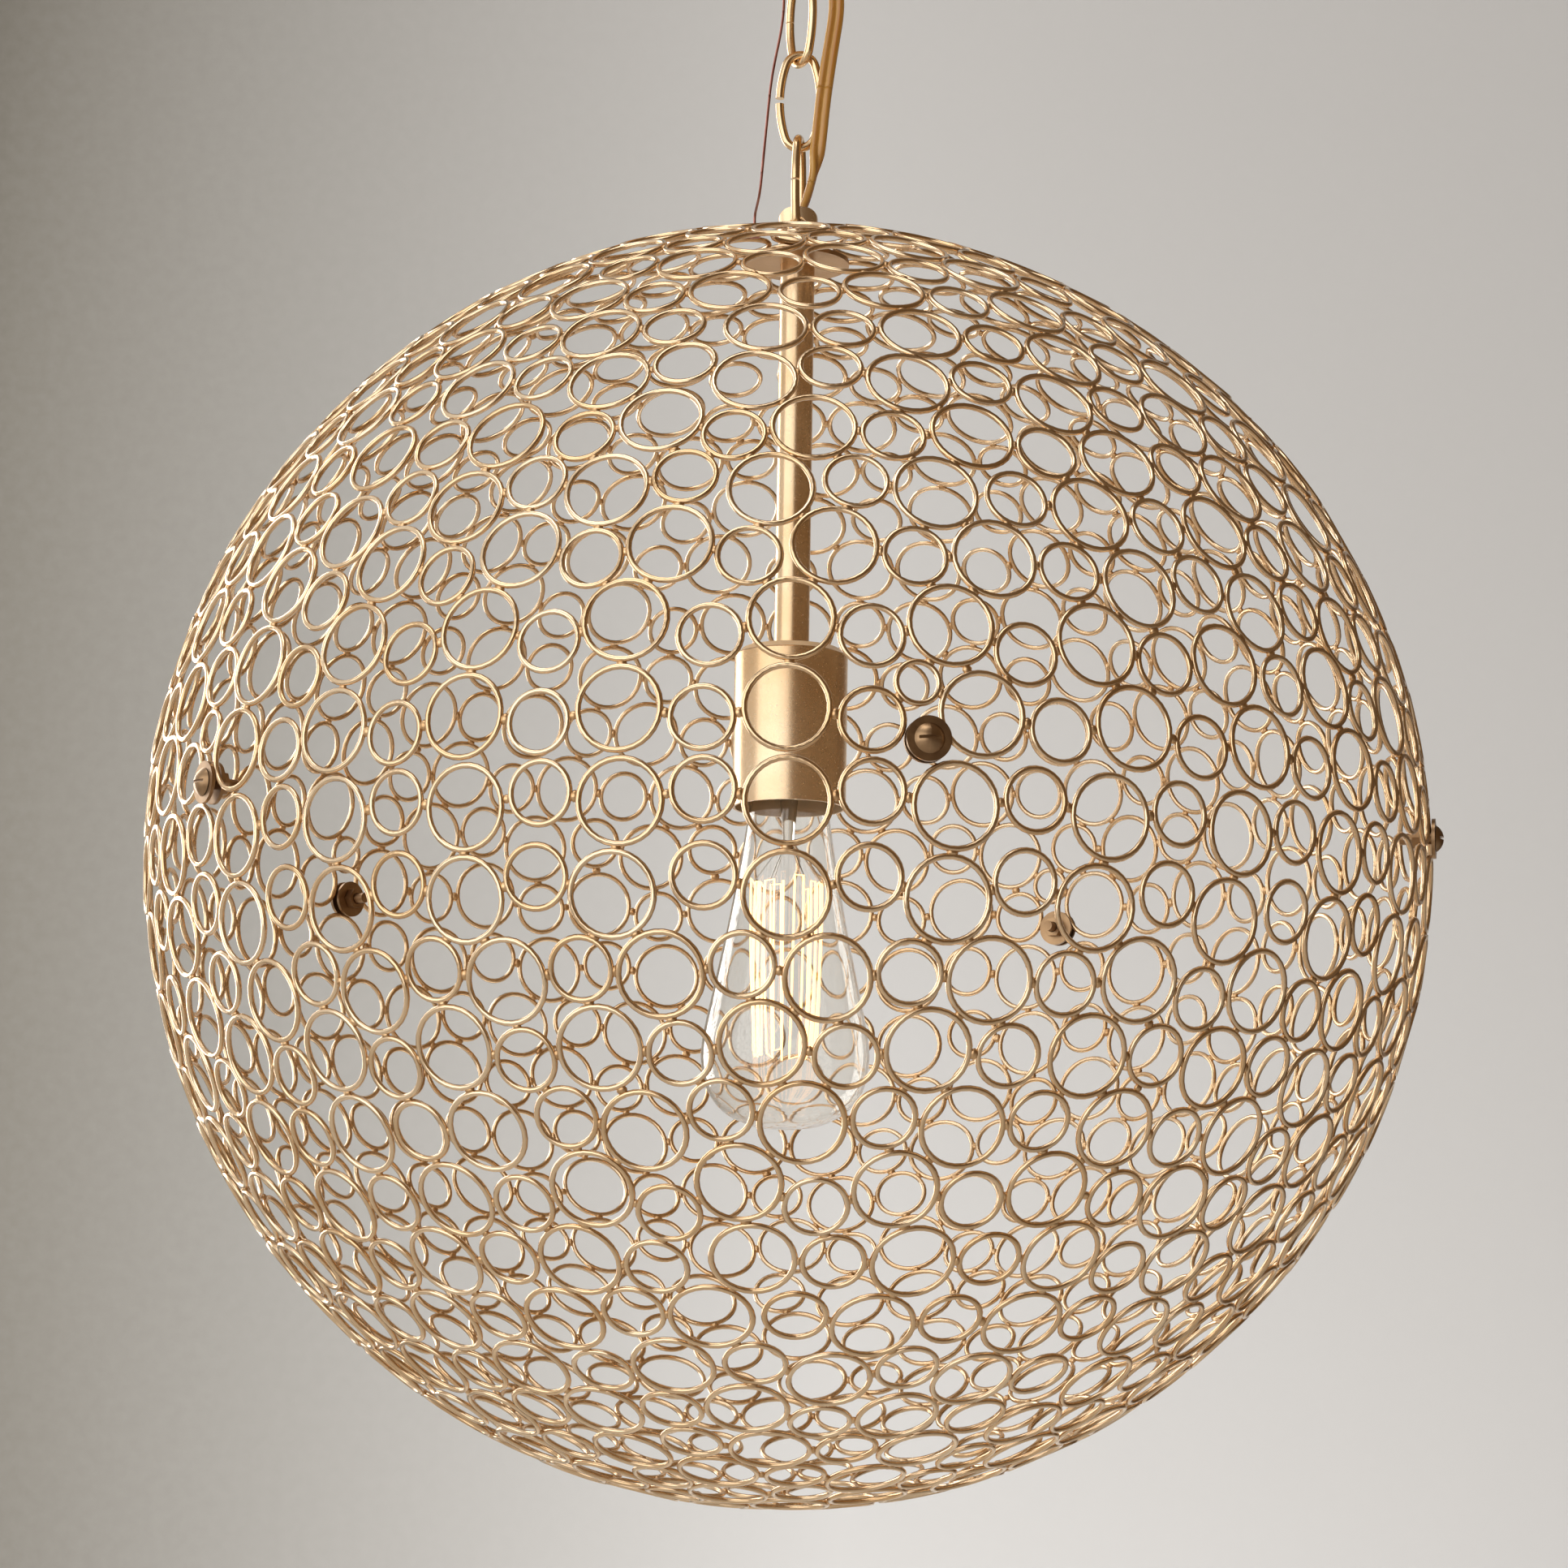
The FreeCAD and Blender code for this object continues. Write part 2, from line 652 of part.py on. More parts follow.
def make_glass(neck_high):
    """The blown envelope: a straight neck, a long flare to its widest, and a domed end."""
    neck = size("glass_neck") / 2
    wide = size("glass_diameter") / 2
    high = neck_high
    widest = orb_centre + size("glass_wide")
    low = orb_centre + size("glass_bottom")

    def profile(inset):
        r_neck = neck - inset
        r_wide = wide - inset
        bottom = low + inset
        flare_mid = vec((r_neck + r_wide) / 2 + 0.06 * (r_wide - r_neck), 0, (high + widest) / 2 - 3)
        pip = size("glass_pip") - inset
        bend = math.sqrt(0.5)
        dome_mid = vec(pip + (r_wide - pip) * bend, 0, widest - (widest - bottom) * bend)
        edges = (
            Part.LineSegment(vec(0, 0, high), vec(r_neck, 0, high)).toShape(),
            Part.Arc(vec(r_neck, 0, high), flare_mid, vec(r_wide, 0, widest)).toShape(),
            Part.Arc(vec(r_wide, 0, widest), dome_mid, vec(pip, 0, bottom)).toShape(),
            Part.LineSegment(vec(pip, 0, bottom), vec(0, 0, bottom)).toShape(),
            Part.LineSegment(vec(0, 0, bottom), vec(0, 0, high)).toShape(),
        )
        return Part.Face(Part.Wire(edges)).revolve(vec(0, 0, 0), vec(0, 0, 1), 360)

    feature("bulb_glass", profile(0).cut(profile(size("glass_wall"))))


def make_filament(stalk_low):
    """Upright strands in a ring, joined end to end at top and bottom as one hairpin wire."""
    high = orb_centre + size("filament_top")
    low = orb_centre + size("filament_bottom")
    across = size("filament_across") / 2
    count = int(size("filament_strands"))
    wire = size("filament_wire")
    strands = []
    for k in range(count):
        angle = 2 * math.pi * (k + 0.5) / count
        foot = vec(0.8 * across * math.cos(angle), 0.8 * across * math.sin(angle), low)
        head = vec(across * math.cos(angle), across * math.sin(angle), high)
        strands.append(three_sided_bar(foot, head, wire))
        end = high if k % 2 else low
        reach = across if k % 2 else 0.8 * across
        start = vec(reach * math.cos(angle), reach * math.sin(angle), end)
        stop = angle + 2 * math.pi / count
        finish = vec(reach * math.cos(stop), reach * math.sin(stop), end)
        gap = (finish - start).normalize() * wire
        strands.append(three_sided_bar(start + gap, finish - gap, wire))
    feature("filament", Part.makeCompound(strands))
    arms = []
    for k in range(0, count, 2):
        angle = 2 * math.pi * k / count
        root = vec(0.3 * size("mount_tube") * math.cos(angle), 0.3 * size("mount_tube") * math.sin(angle), stalk_low)
        hook = vec(across * math.cos(angle) * 0.93, across * math.sin(angle) * 0.93, high - 2 * wire)
        arms.append(three_sided_bar(root - vec(0, 0, 2 * wire), hook, wire))
    feature("filament_arms", Part.makeCompound(arms))


def three_sided_bar(start, end, across):
    """A thin straight bar with three flat sides."""
    axis = (end - start).normalize()
    side = axis.cross(vec(0, 0, 1)) if abs(axis.z) < 0.9 else axis.cross(vec(1, 0, 0))
    side.normalize()
    other = axis.cross(side)
    corners = []
    for k in range(3):
        angle = 2 * math.pi * k / 3
        corners.append(start + side * (math.cos(angle) * across / 2) + other * (math.sin(angle) * across / 2))
    corners.append(corners[0])
    return Part.Face(Part.makePolygon(corners)).extrude(end - start)


# ---------------------------------------------------------------- the ball of rings


class Ring:
    """A flat wire ring that lies on the ball: its centre's direction, diameter, row and turn."""

    def __init__(self, azimuth, latitude, diameter, row, fixed=False):
        self.direction = heading(azimuth, latitude)
        self.diameter = diameter
        self.row = row
        self.fixed = fixed
        self.turn = 0.0

    def reach(self):
        return self.diameter / 2


def heading(azimuth, latitude):
    """A unit vector; azimuth 0 faces the viewer and grows to the viewer's right."""
    flat = math.cos(latitude)
    return vec(flat * math.sin(azimuth), -flat * math.cos(azimuth), math.sin(latitude))


def screw_azimuths():
    """The screws stand between groups of 10, 11, 12, 11 and 10 rings of the upper seam row."""
    counts = [size(f"sector_{word}") for word in ("one", "two", "three", "four", "five")]
    around = 2 * math.pi * ball_radius * math.cos(math.radians(size("seam_latitude")))
    pitch = (around - len(counts) * size("screw_space")) / sum(counts)
    angles = []
    angle = math.radians(size("screw_azimuth"))
    for count in counts:
        angles.append((angle, int(count), pitch * 2 * math.pi / around))
        angle += (count * pitch + size("screw_space")) * 2 * math.pi / around
    return angles


def rim_latitude(diameter):
    """The latitude at which a ring's lowest point stands half the seam's gap from the seam."""
    reach = math.hypot(ball_radius, diameter / 2)
    return math.atan2(diameter / 2, ball_radius) + math.asin(size("seam_gap") / 2 / reach)


def upper_seam_row():
    """Big and small rings by turns, their rims in line, with a space and a mini ring at each screw."""
    half_space = size("screw_space") / 2 / ball_radius
    rings = []
    number = 0
    for start, count, pitch in screw_azimuths():
        for k in range(count):
            diameter = size("small_ring") if number % 2 else size("big_ring")
            azimuth = start + half_space + (k + 0.5) * pitch
            rings.append(Ring(azimuth, rim_latitude(diameter), diameter, 1, True))
            number += 1
        rings.append(Ring(start, math.asin(size("mini_rise") / ball_radius), size("mini_ring"), 1))
    return rings


def lower_seam_row():
    """A full row of big and small rings by turns, their rims in line along the seam."""
    pair = size("big_ring") + size("small_ring") + 2 * size("weld_space")
    around = 2 * math.pi * ball_radius * math.cos(math.radians(size("seam_latitude")))
    count = 2 * int(around / pair)
    rings = []
    for k in range(count):
        diameter = size("small_ring") if k % 2 else size("big_ring")
        azimuth = math.radians(size("screw_azimuth")) + 2 * math.pi * (k + 0.35) / count
        rings.append(Ring(azimuth, -rim_latitude(diameter), diameter, 1, True))
    return rings


def row_of_rings(around, row):
    """Diameters for a row: pairs of big and small, and one more ring where the room is left."""
    pair = [size("big_ring"), size("small_ring")]
    if row % 2:
        pair.reverse()
    room = sum(pair) + 2 * size("weld_space")
    row_sizes = pair * int(around / room)
    spare = around - room * int(around / room)
    for diameter in (size("big_ring"), size("small_ring")):
        if spare > diameter + size("weld_space"):
            row_sizes.append(diameter)
            break
    return row_sizes


def later_rows(side):
    """Rows 2 and up, one above the other, and the ring that closes the pole."""
    rings = []
    mean = (size("big_ring") + size("small_ring")) / 2
    last_row = int(size("row_count"))
    for row in range(2, last_row + 1):
        latitude = math.radians(size("seam_latitude")) + (row - 1) * row_step
        around = 2 * math.pi * ball_radius * math.cos(latitude)
        row_sizes = row_of_rings(around, row)
        loose = (around - sum(row_sizes)) / len(row_sizes)
        along = 0.5 * mean * math.sin(2.4 * row)
        for diameter in row_sizes:
            along += (diameter + loose) / 2
            azimuth = math.pi + along * 2 * math.pi / around
            rings.append(Ring(azimuth, side * latitude, diameter, row))
            along += (diameter + loose) / 2
    rings.append(Ring(0, side * math.pi / 2, size("big_ring"), last_row + 1, True))
    return rings


def neighbours(rings, reach):
    """Pairs of rings whose centres lie within a reach, given as a part of the ball's radius."""
    pairs = []
    for i, one in enumerate(rings):
        for other in rings[i + 1:]:
            if (one.direction - other.direction).Length < reach:
                pairs.append((one, other))
    return pairs


def settle(rings):
    """Ease apart rings that crowd each other and draw in those that stand off, as in a welding former."""
    pairs = neighbours(rings, 1.3 * size("big_ring") / ball_radius)
    lowest = {ring.diameter: math.sin(rim_latitude(ring.diameter)) for ring in rings}
    for turn in range(SETTLE_PASSES):
        nearest = {}
        for one, other in pairs:
            gap = push_apart(one, other)
            for ring, beside in ((one, other), (other, one)):
                if ring not in nearest or gap < nearest[ring][0]:
                    nearest[ring] = (gap, beside)
        if turn < DRAW_PASSES:
            draw_in(nearest)
        for ring in rings:
            floor = lowest[ring.diameter]
            if not ring.fixed and abs(ring.direction.z) < floor:
                ring.direction.z = math.copysign(floor, ring.direction.z)
    for ring, (_, beside) in nearest.items():
        east, north = across_ball(ring.direction)
        step = beside.direction - ring.direction
        ring.turn = math.atan2(step.dot(north), step.dot(east))
    return rings


def push_apart(one, other):
    """Part two rings that are too close, and give the gap that was between them."""
    step = one.direction - other.direction
    gap = step.Length - (one.reach() + other.reach() + size("weld_space")) / ball_radius
    if gap < 0 and not (one.fixed and other.fixed):
        push = step.normalize() * -gap
        share = 1.0 if one.fixed or other.fixed else 0.5
        if not one.fixed:
            one.direction = (one.direction + push * share).normalize()
        if not other.fixed:
            other.direction = (other.direction - push * share).normalize()
    return gap


def draw_in(nearest):
    for ring, (gap, beside) in nearest.items():
        if not ring.fixed and gap > size("weld_space") / ball_radius:
            step = (beside.direction - ring.direction).normalize()
            ring.direction = (ring.direction + step * (0.4 * gap)).normalize()


def ring_template(diameter):
    """A wire ring lying flat: straight sides, and a three-sided wire within the round one."""
    wire = size("ring_wire") / 2
    middle = diameter / 2 - wire
    sides = int(size("ring_sides"))
    loops = []
    for k in range(sides):
        angle = 2 * math.pi * k / sides
        loop = []
        for tilt in (90, 210, 330):
            reach = middle + wire * math.sin(math.radians(tilt))
            height = wire * math.cos(math.radians(tilt))
            loop.append(vec(reach * math.cos(angle), reach * math.sin(angle), height))
        loops.append(loop)
    faces = []
    for k in range(sides):
        here = loops[k]
        there = loops[(k + 1) % sides]
        for j in range(3):
            corners = (here[j], here[(j + 1) % 3], there[(j + 1) % 3], there[j], here[j])
            faces.append(Part.Face(Part.makePolygon(corners)))
    solid = Part.Solid(Part.Shell(faces))
    if solid.Volume < 0:
        solid.reverse()
    return solid


def across_ball(out):
    """Unit vectors to the east and the north along the ball at a place on it."""
    east = vec(-out.y, out.x, 0)
    if east.Length < 1e-6:
        east = vec(1, 0, 0)
    east.normalize()
    return east, out.cross(east)


def lay(ring, template):
    """Put a ring in its place on the ball, flat on the surface, a corner to its nearest neighbour."""
    out = ring.direction
    east, north = across_ball(out)
    spin = FreeCAD.Rotation(east, north, out, "ZXY").multiply(FreeCAD.Rotation(vec(0, 0, 1), math.degrees(ring.turn)))
    solid = template.copy()
    solid.Placement = FreeCAD.Placement(vec(0, 0, orb_centre) + out * ball_radius, spin)
    return solid


def outer_points(ring):
    """Points along the ring's outer edge: each corner, and three more on each side."""
    east, north = across_ball(ring.direction)
    centre = vec(0, 0, orb_centre) + ring.direction * ball_radius
    sides = int(size("ring_sides"))
    corners = []
    for k in range(sides):
        angle = 2 * math.pi * k / sides + ring.turn
        corners.append(centre + east * (ring.reach() * math.cos(angle)) + north * (ring.reach() * math.sin(angle)))
    points = []
    for k in range(sides):
        here = corners[k]
        there = corners[(k + 1) % sides]
        points += [here + (there - here) * part for part in (0, 0.25, 0.5, 0.75)]
    return points


def nearest_points(one, other):
    """The two nearest points of two rings' outer edges, and how far apart they are."""
    best = None
    for a in one:
        for b in other:
            away = a.distanceToPoint(b)
            if best is None or away < best[0]:
                best = (away, a, b)
    return best


def weld_beads(rings):
    """Beads that bridge the rings that stand apart, until every ring is joined to the rest."""
    edges = {ring: outer_points(ring) for ring in rings}
    spans = []
    for one, other in neighbours(rings, 1.2 * size("big_ring") / ball_radius):
        spans.append(nearest_points(edges[one], edges[other]))
        spans[-1] += (one, other)
    spans.sort(key=lambda span: span[0])
    group = {ring: ring for ring in rings}

    def first_of(ring):
        while group[ring] is not ring:
            ring = group[ring]
        return ring

    beads = []
    for away, start, end, one, other in spans:
        a = first_of(one)
        b = first_of(other)
        if a is b:
            continue
        group[a] = b
        if away > size("bead_from"):
            inset = (end - start).normalize() * size("bead_space")
            beads.append(three_sided_bar(start + inset, end - inset, size("bead_across")))
    return beads


def make_half(name, rings):
    """One half of the ball as bands of rows, from the seam to the pole."""
    feature(f"{name}_weld_beads", Part.makeCompound(weld_beads(rings)))
    templates = {ring.diameter: None for ring in rings}
    for diameter in templates:
        templates[diameter] = ring_template(diameter)
    last_row = int(size("row_count"))
    mini = [ring for ring in rings if ring.diameter == size("mini_ring")]
    if mini:
        feature(f"{name}_mini_rings", Part.makeCompound([lay(ring, templates[ring.diameter]) for ring in mini]))
    band = 0
    for first in range(1, last_row + 1, BAND_ROWS):
        band += 1
        chosen = [r for r in rings if first <= r.row < first + BAND_ROWS and r not in mini]
        solids = [lay(ring, templates[ring.diameter]) for ring in chosen]
        feature(f"{name}_band_{band}", Part.makeCompound(solids))
    crown = [ring for ring in rings if ring.row > last_row]
    feature(f"{name}_pole_ring", Part.makeCompound([lay(ring, templates[ring.diameter]) for ring in crown]))


def make_ball():
    upper = settle(upper_seam_row() + later_rows(1))
    lower = settle(lower_seam_row() + later_rows(-1))
    make_half("upper", upper)
    make_half("lower", lower)
    print("rings:", len(upper), "above the seam and", len(lower), "below")
    return upper


# ---------------------------------------------------------------- seam screws


def at_screws(shape):
    """Copies of a shape modelled along +X from the wall's middle, one at each seam screw."""
    wall = ball_radius + size("fit_space")
    copies = []
    for angle, _, _ in screw_azimuths():
        out = heading(angle, 0)
        turn = FreeCAD.Rotation(vec(0, 0, 1), math.degrees(math.atan2(out.y, out.x)))
        copy = shape.copy()
        copy.Placement = FreeCAD.Placement(out * wall + vec(0, 0, orb_centre + size("screw_rise")), turn)
        copies.append(copy)
    return Part.makeCompound(copies)


def make_screws():
    along = vec(1, 0, 0)
    clamp = size("ring_wire") / 2 + size("fit_space")
    thick = size("washer_thick")
    space = size("fit_space")
    shank = size("screw_shank") / 2
    for name, start in (("outer_washers", clamp), ("inner_washers", -clamp - thick)):
        washer = Part.makeCylinder(size("washer_diameter") / 2, thick, vec(start, 0, 0), along)
        washer = washer.cut(Part.makeCylinder(shank + space, thick, vec(start, 0, 0), along))
        feature(name, at_screws(washer))
    nut_start = -clamp - thick - space - size("nut_height")
    reach = size("nut_across") / 2 / math.cos(math.pi / 6)
    corners = [
        vec(nut_start, reach * math.cos(k * math.pi / 3), reach * math.sin(k * math.pi / 3)) for k in range(6)
    ]
    nut = Part.Face(Part.makePolygon(corners + [corners[0]])).extrude(vec(size("nut_height"), 0, 0))
    nut = nut.cut(Part.makeCylinder(shank + space, size("nut_height"), vec(nut_start, 0, 0), along))
    feature("seam_nuts", at_screws(nut))
    head_base = clamp + thick + space
    dome = (size("head_diameter") ** 2 / 4 + size("head_height") ** 2) / (2 * size("head_height"))
    ball = Part.makeSphere(dome, vec(head_base + size("head_height") - dome, 0, 0))
    head = ball.common(Part.makeCylinder(size("head_diameter") / 2, 2 * dome, vec(head_base, 0, 0), along))
    slot = Part.makeBox(size("head_height"), size("head_diameter"), size("slot_width"))
    slot.translate(vec(head_base + size("head_height") / 2, -size("head_diameter") / 2, -size("slot_width") / 2))
    head = head.cut(slot)
    rod = Part.makeCylinder(shank, size("screw_length"), vec(head_base - size("screw_length"), 0, 0), along)
    feature("seam_screws", at_screws(head.fuse(rod)))


# ---------------------------------------------------------------- cord and ground wire


def tube_along(points, radius, name):
    """A tube of straight runs joined by the largest tangent arcs that the runs allow."""
    places = [vec(*point) for point in points]
    edges = []
    radii = []
    last = places[0]
    for before, corner, after in zip(places, places[1:], places[2:]):
        back = before - corner
        ahead = after - corner
        short = min(back.Length, ahead.Length)
        turn = math.pi - back.getAngle(ahead)
        trim = 0.45 * short
        radii.append(trim / math.tan(turn / 2))
        back.normalize()
        ahead.normalize()
        start = corner + back * trim
        end = corner + ahead * trim
        bisector = (back + ahead).normalize()
        depth = radii[-1] / math.cos(turn / 2) - radii[-1]
        edges.append(Part.LineSegment(last, start).toShape())
        edges.append(Part.Arc(start, corner + bisector * depth, end).toShape())
        last = end
    edges.append(Part.LineSegment(last, places[-1]).toShape())
    path = Part.Wire(edges)
    ring = Part.Wire(Part.Circle(places[0], places[1] - places[0], radius).toShape())
    tube = path.makePipeShell([ring], True, False)
    print(name, "radii", [round(r, 1) for r in radii], "length", round(path.Length, 1),
          "volume ratio", round(tube.Volume / (math.pi * radius ** 2 * path.Length), 4))
    return tube


def placed(route):
    """A lead's points, each given by its x, its y and its height above one of the chain's bars."""
    bars = {"eye": eye_bar, "three": bar_three, "two": bar_two, "one": bar_one}
    return [(x, y, bars[bar] + rise) for x, y, bar, rise in route]


def make_lead(name, route, cuts, radius):
    """A lead in stretches, the first at the ceiling, that meet face to face between chain joints."""
    ends = (0,) + cuts + (len(route) - 1,)
    for number, (first, last) in enumerate(zip(ends, ends[1:]), start=1):
        points = [midway(route, first)] + route[first + 1:last] + [midway(route, last)]
        if first > 0:
            points.insert(1, route[first])
        feature(f"{name}_{number}", tube_along(points, radius, f"{name}_{number}"))


def midway(route, index):
    """A stretch's end: the route's own end, or the middle of the run above a cut."""
    if index in (0, len(route) - 1):
        return route[index]
    return tuple((a + b) / 2 for a, b in zip(route[index - 1], route[index]))


def make_leads(upper):
    make_lead("cord", placed(CORD_ROUTE), CORD_CUTS, size("cord_tube") / 2)
    route = placed(GROUND_ROUTE)
    lug_at, along = nearest_wire(upper, vec(*route[-1]))
    route.append(tuple(lug_at + vec(0, 0, 2)))
    make_lead("ground_wire", route, GROUND_CUTS, size("ground_wire") / 2)
    outer = Part.makeCylinder(size("lug_diameter") / 2, size("lug_length"), lug_at - along * (size("lug_length") / 2), along)
    bore = size("ring_wire") / 2 + size("fit_space") / 2
    inner = Part.makeCylinder(bore, size("lug_length"), lug_at - along * (size("lug_length") / 2), along)
    feature("ground_lug", outer.cut(inner))


def nearest_wire(rings, point):
    """The place on any ring's wire that lies nearest below a point, and the wire's direction there."""
    centre = vec(0, 0, orb_centre)
    best = None
    for ring in rings:
        out = ring.direction
        middle = centre + out * ball_radius
        flat = point - middle
        flat = flat - out * flat.dot(out)
        flat.normalize()
        place = middle + flat * ((ring.diameter - size("ring_wire")) / 2 * math.cos(math.pi / size("ring_sides")))
        away = (place - point).Length
        if best is None or away < best[0]:
            best = (away, place, out.cross(flat))
    return best[1], best[2]


# ---------------------------------------------------------------- build, test and write


def check():
    """Stop on any failed object or any sub-part that is not a valid solid shape."""
    doc.recompute()
    for item in doc.Objects:
        if "Invalid" in item.State or "Error" in item.State:
            raise RuntimeError(f"{item.Name} failed: {item.State}")
    for piece in parts:
        shape = piece.Shape
        if shape.isNull() or not shape.isValid() or not shape.Solids:
            raise RuntimeError(f"{piece.Label} has no valid solid")


def write():
    os.makedirs("parts", exist_ok=True)
    for piece in parts:
        piece.Shape.exportStep(f"parts/{piece.Label}.step")


def main():
    make_ceiling_fitting()
    make_chain()
    make_stem()
    contact_low = make_socket()
    make_bulb(contact_low)
    upper = make_ball()
    make_screws()
    make_leads(upper)
    check()
    write()
    print("orb centre", round(orb_centre, 3), "bars", round(bar_one, 2), round(bar_two, 2), round(bar_three, 2),
          "eye bar", round(eye_bar, 2), "parts", len(parts))


main()
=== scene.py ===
"""An open orb pendant of welded wire rings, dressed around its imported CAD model."""
import math
import random

import bmesh
import bpy
import numpy as np
from mathutils import Matrix, Vector


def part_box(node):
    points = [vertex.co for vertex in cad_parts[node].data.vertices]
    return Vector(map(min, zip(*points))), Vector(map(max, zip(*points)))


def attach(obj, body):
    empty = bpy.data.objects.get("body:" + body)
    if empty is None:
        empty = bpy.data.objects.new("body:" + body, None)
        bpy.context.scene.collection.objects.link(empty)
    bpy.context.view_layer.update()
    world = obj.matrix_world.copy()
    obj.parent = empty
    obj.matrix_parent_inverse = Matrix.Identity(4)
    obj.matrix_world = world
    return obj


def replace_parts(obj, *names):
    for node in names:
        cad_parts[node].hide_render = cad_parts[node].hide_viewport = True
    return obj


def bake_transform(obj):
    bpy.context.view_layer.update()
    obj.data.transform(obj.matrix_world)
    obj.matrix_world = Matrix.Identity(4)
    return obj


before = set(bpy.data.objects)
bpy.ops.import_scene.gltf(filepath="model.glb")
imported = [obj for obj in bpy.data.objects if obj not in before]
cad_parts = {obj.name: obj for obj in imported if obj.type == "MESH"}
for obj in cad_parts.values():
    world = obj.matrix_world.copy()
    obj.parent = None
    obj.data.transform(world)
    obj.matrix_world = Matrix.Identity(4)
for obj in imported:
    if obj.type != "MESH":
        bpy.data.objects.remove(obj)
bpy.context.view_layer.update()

# ------------------------------------------------------------------ sizes, in metres

# The orb: the cup's top stands CUP_RISE above its centre. The rings' centres lie on a ball of
# BALL_RADIUS, so that the rims of the largest rings reach ORB_RADIUS.
CUP_RISE = 0.079
ORB_CENTRE = Vector((0, 0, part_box("socket_cup")[1].z - CUP_RISE))
ORB_RADIUS = 0.2286
RING_WIRE = 0.002
RING_DIAMETERS = (0.028, 0.0214, 0.0153)
BALL_RADIUS = math.sqrt(
    (ORB_RADIUS - RING_WIRE / 2) ** 2 - (RING_DIAMETERS[0] / 2 - RING_WIRE / 2) ** 2
)

# The chain's bars, at which the leads bend: heights below the ceiling.
EYE_BAR = -0.04425
BAR_THREE = -0.07615
BAR_TWO = -0.1088
BAR_ONE = -0.14145

# The camera: its distance, tilt and roll, and where the orb's centre falls in the picture.
IMAGE_SIDE = 1932
CAMERA_AWAY = 1.3442
CAMERA_PITCH = math.radians(8.55)
CAMERA_ROLL = math.radians(0.9)
FOCAL_PIXELS = 4606
ORB_X_PIXEL = 971
ORB_Y_PIXEL = 1067
SENSOR_MM = 36

# The room: a wall behind the orb and a floor below it.
WALL_Y = 1.9
WALL_TOP = 2.3
FLOOR_Z = -1.7
ROOM_REACH = 5

# Each lamp: its place and aim from the orb's centre, width, height, power in watts and colour.
LAMPS = {
    "window_wall": ((-1.85, -2.5, 0.5), (0, 0, 0), 4.2, 3.0, 46, (1.0, 0.985, 0.955)),
    "window_pane": ((-1.45, 1.4, 0.5), (0, 0, 0), 1.15, 2.0, 28, (1.0, 0.985, 0.96)),
    "sky_fill": ((-0.5, -0.6, 2.1), (0, 0, 0), 1.4, 1.0, 10, (1.0, 0.98, 0.95)),
    "wall_wash": ((0.15, 0.7, -1.0), (0.1, WALL_Y, -0.2), 1.2, 0.8, 10, (1.0, 0.99, 0.98)),
}

# The room's glow from either side, and the span of directions over which one turns to the other.
WINDOW_GLOW = (0.80, 0.775, 0.74, 1)
DIM_GLOW = (0.148, 0.098, 0.056, 1)
GLOW_SPAN = (-0.55, 0.15)

# ------------------------------------------------------------------ camera, light and room


def add_camera():
    """A camera below the orb's centre that looks up at it, rolled as the lamp leans."""
    forward = Vector((0, math.cos(CAMERA_PITCH), math.sin(CAMERA_PITCH)))
    level_right = Vector((1, 0, 0))
    level_up = level_right.cross(forward)
    right = level_right * math.cos(CAMERA_ROLL) + level_up * math.sin(CAMERA_ROLL)
    up = level_up * math.cos(CAMERA_ROLL) - level_right * math.sin(CAMERA_ROLL)
    data = bpy.data.cameras.new("photo_camera")
    data.sensor_width = SENSOR_MM
    data.lens = FOCAL_PIXELS / IMAGE_SIDE * SENSOR_MM
    data.shift_x = (IMAGE_SIDE / 2 - ORB_X_PIXEL) / IMAGE_SIDE
    data.shift_y = (ORB_Y_PIXEL - IMAGE_SIDE / 2) / IMAGE_SIDE
    camera = bpy.data.objects.new("photo_camera", data)
    turn = Matrix((right, up, -forward)).transposed()
    camera.matrix_world = Matrix.Translation(ORB_CENTRE - forward * CAMERA_AWAY) @ turn.to_4x4()
    bpy.context.scene.collection.objects.link(camera)
    bpy.context.scene.camera = camera


def add_lamp(name, place, aim, width, height, watts, colour):
    """A soft rectangular lamp that faces a point, both given from the orb's centre."""
    data = bpy.data.lights.new(name, "AREA")
    data.shape = "RECTANGLE"
    data.size = width
    data.size_y = height
    data.energy = watts
    data.color = colour
    lamp = bpy.data.objects.new(name, data)
    lamp.location = ORB_CENTRE + Vector(place)
    lamp.rotation_euler = (Vector(aim) - Vector(place)).to_track_quat("-Z", "Y").to_euler()
    lamp.visible_camera = False
    bpy.context.scene.collection.objects.link(lamp)


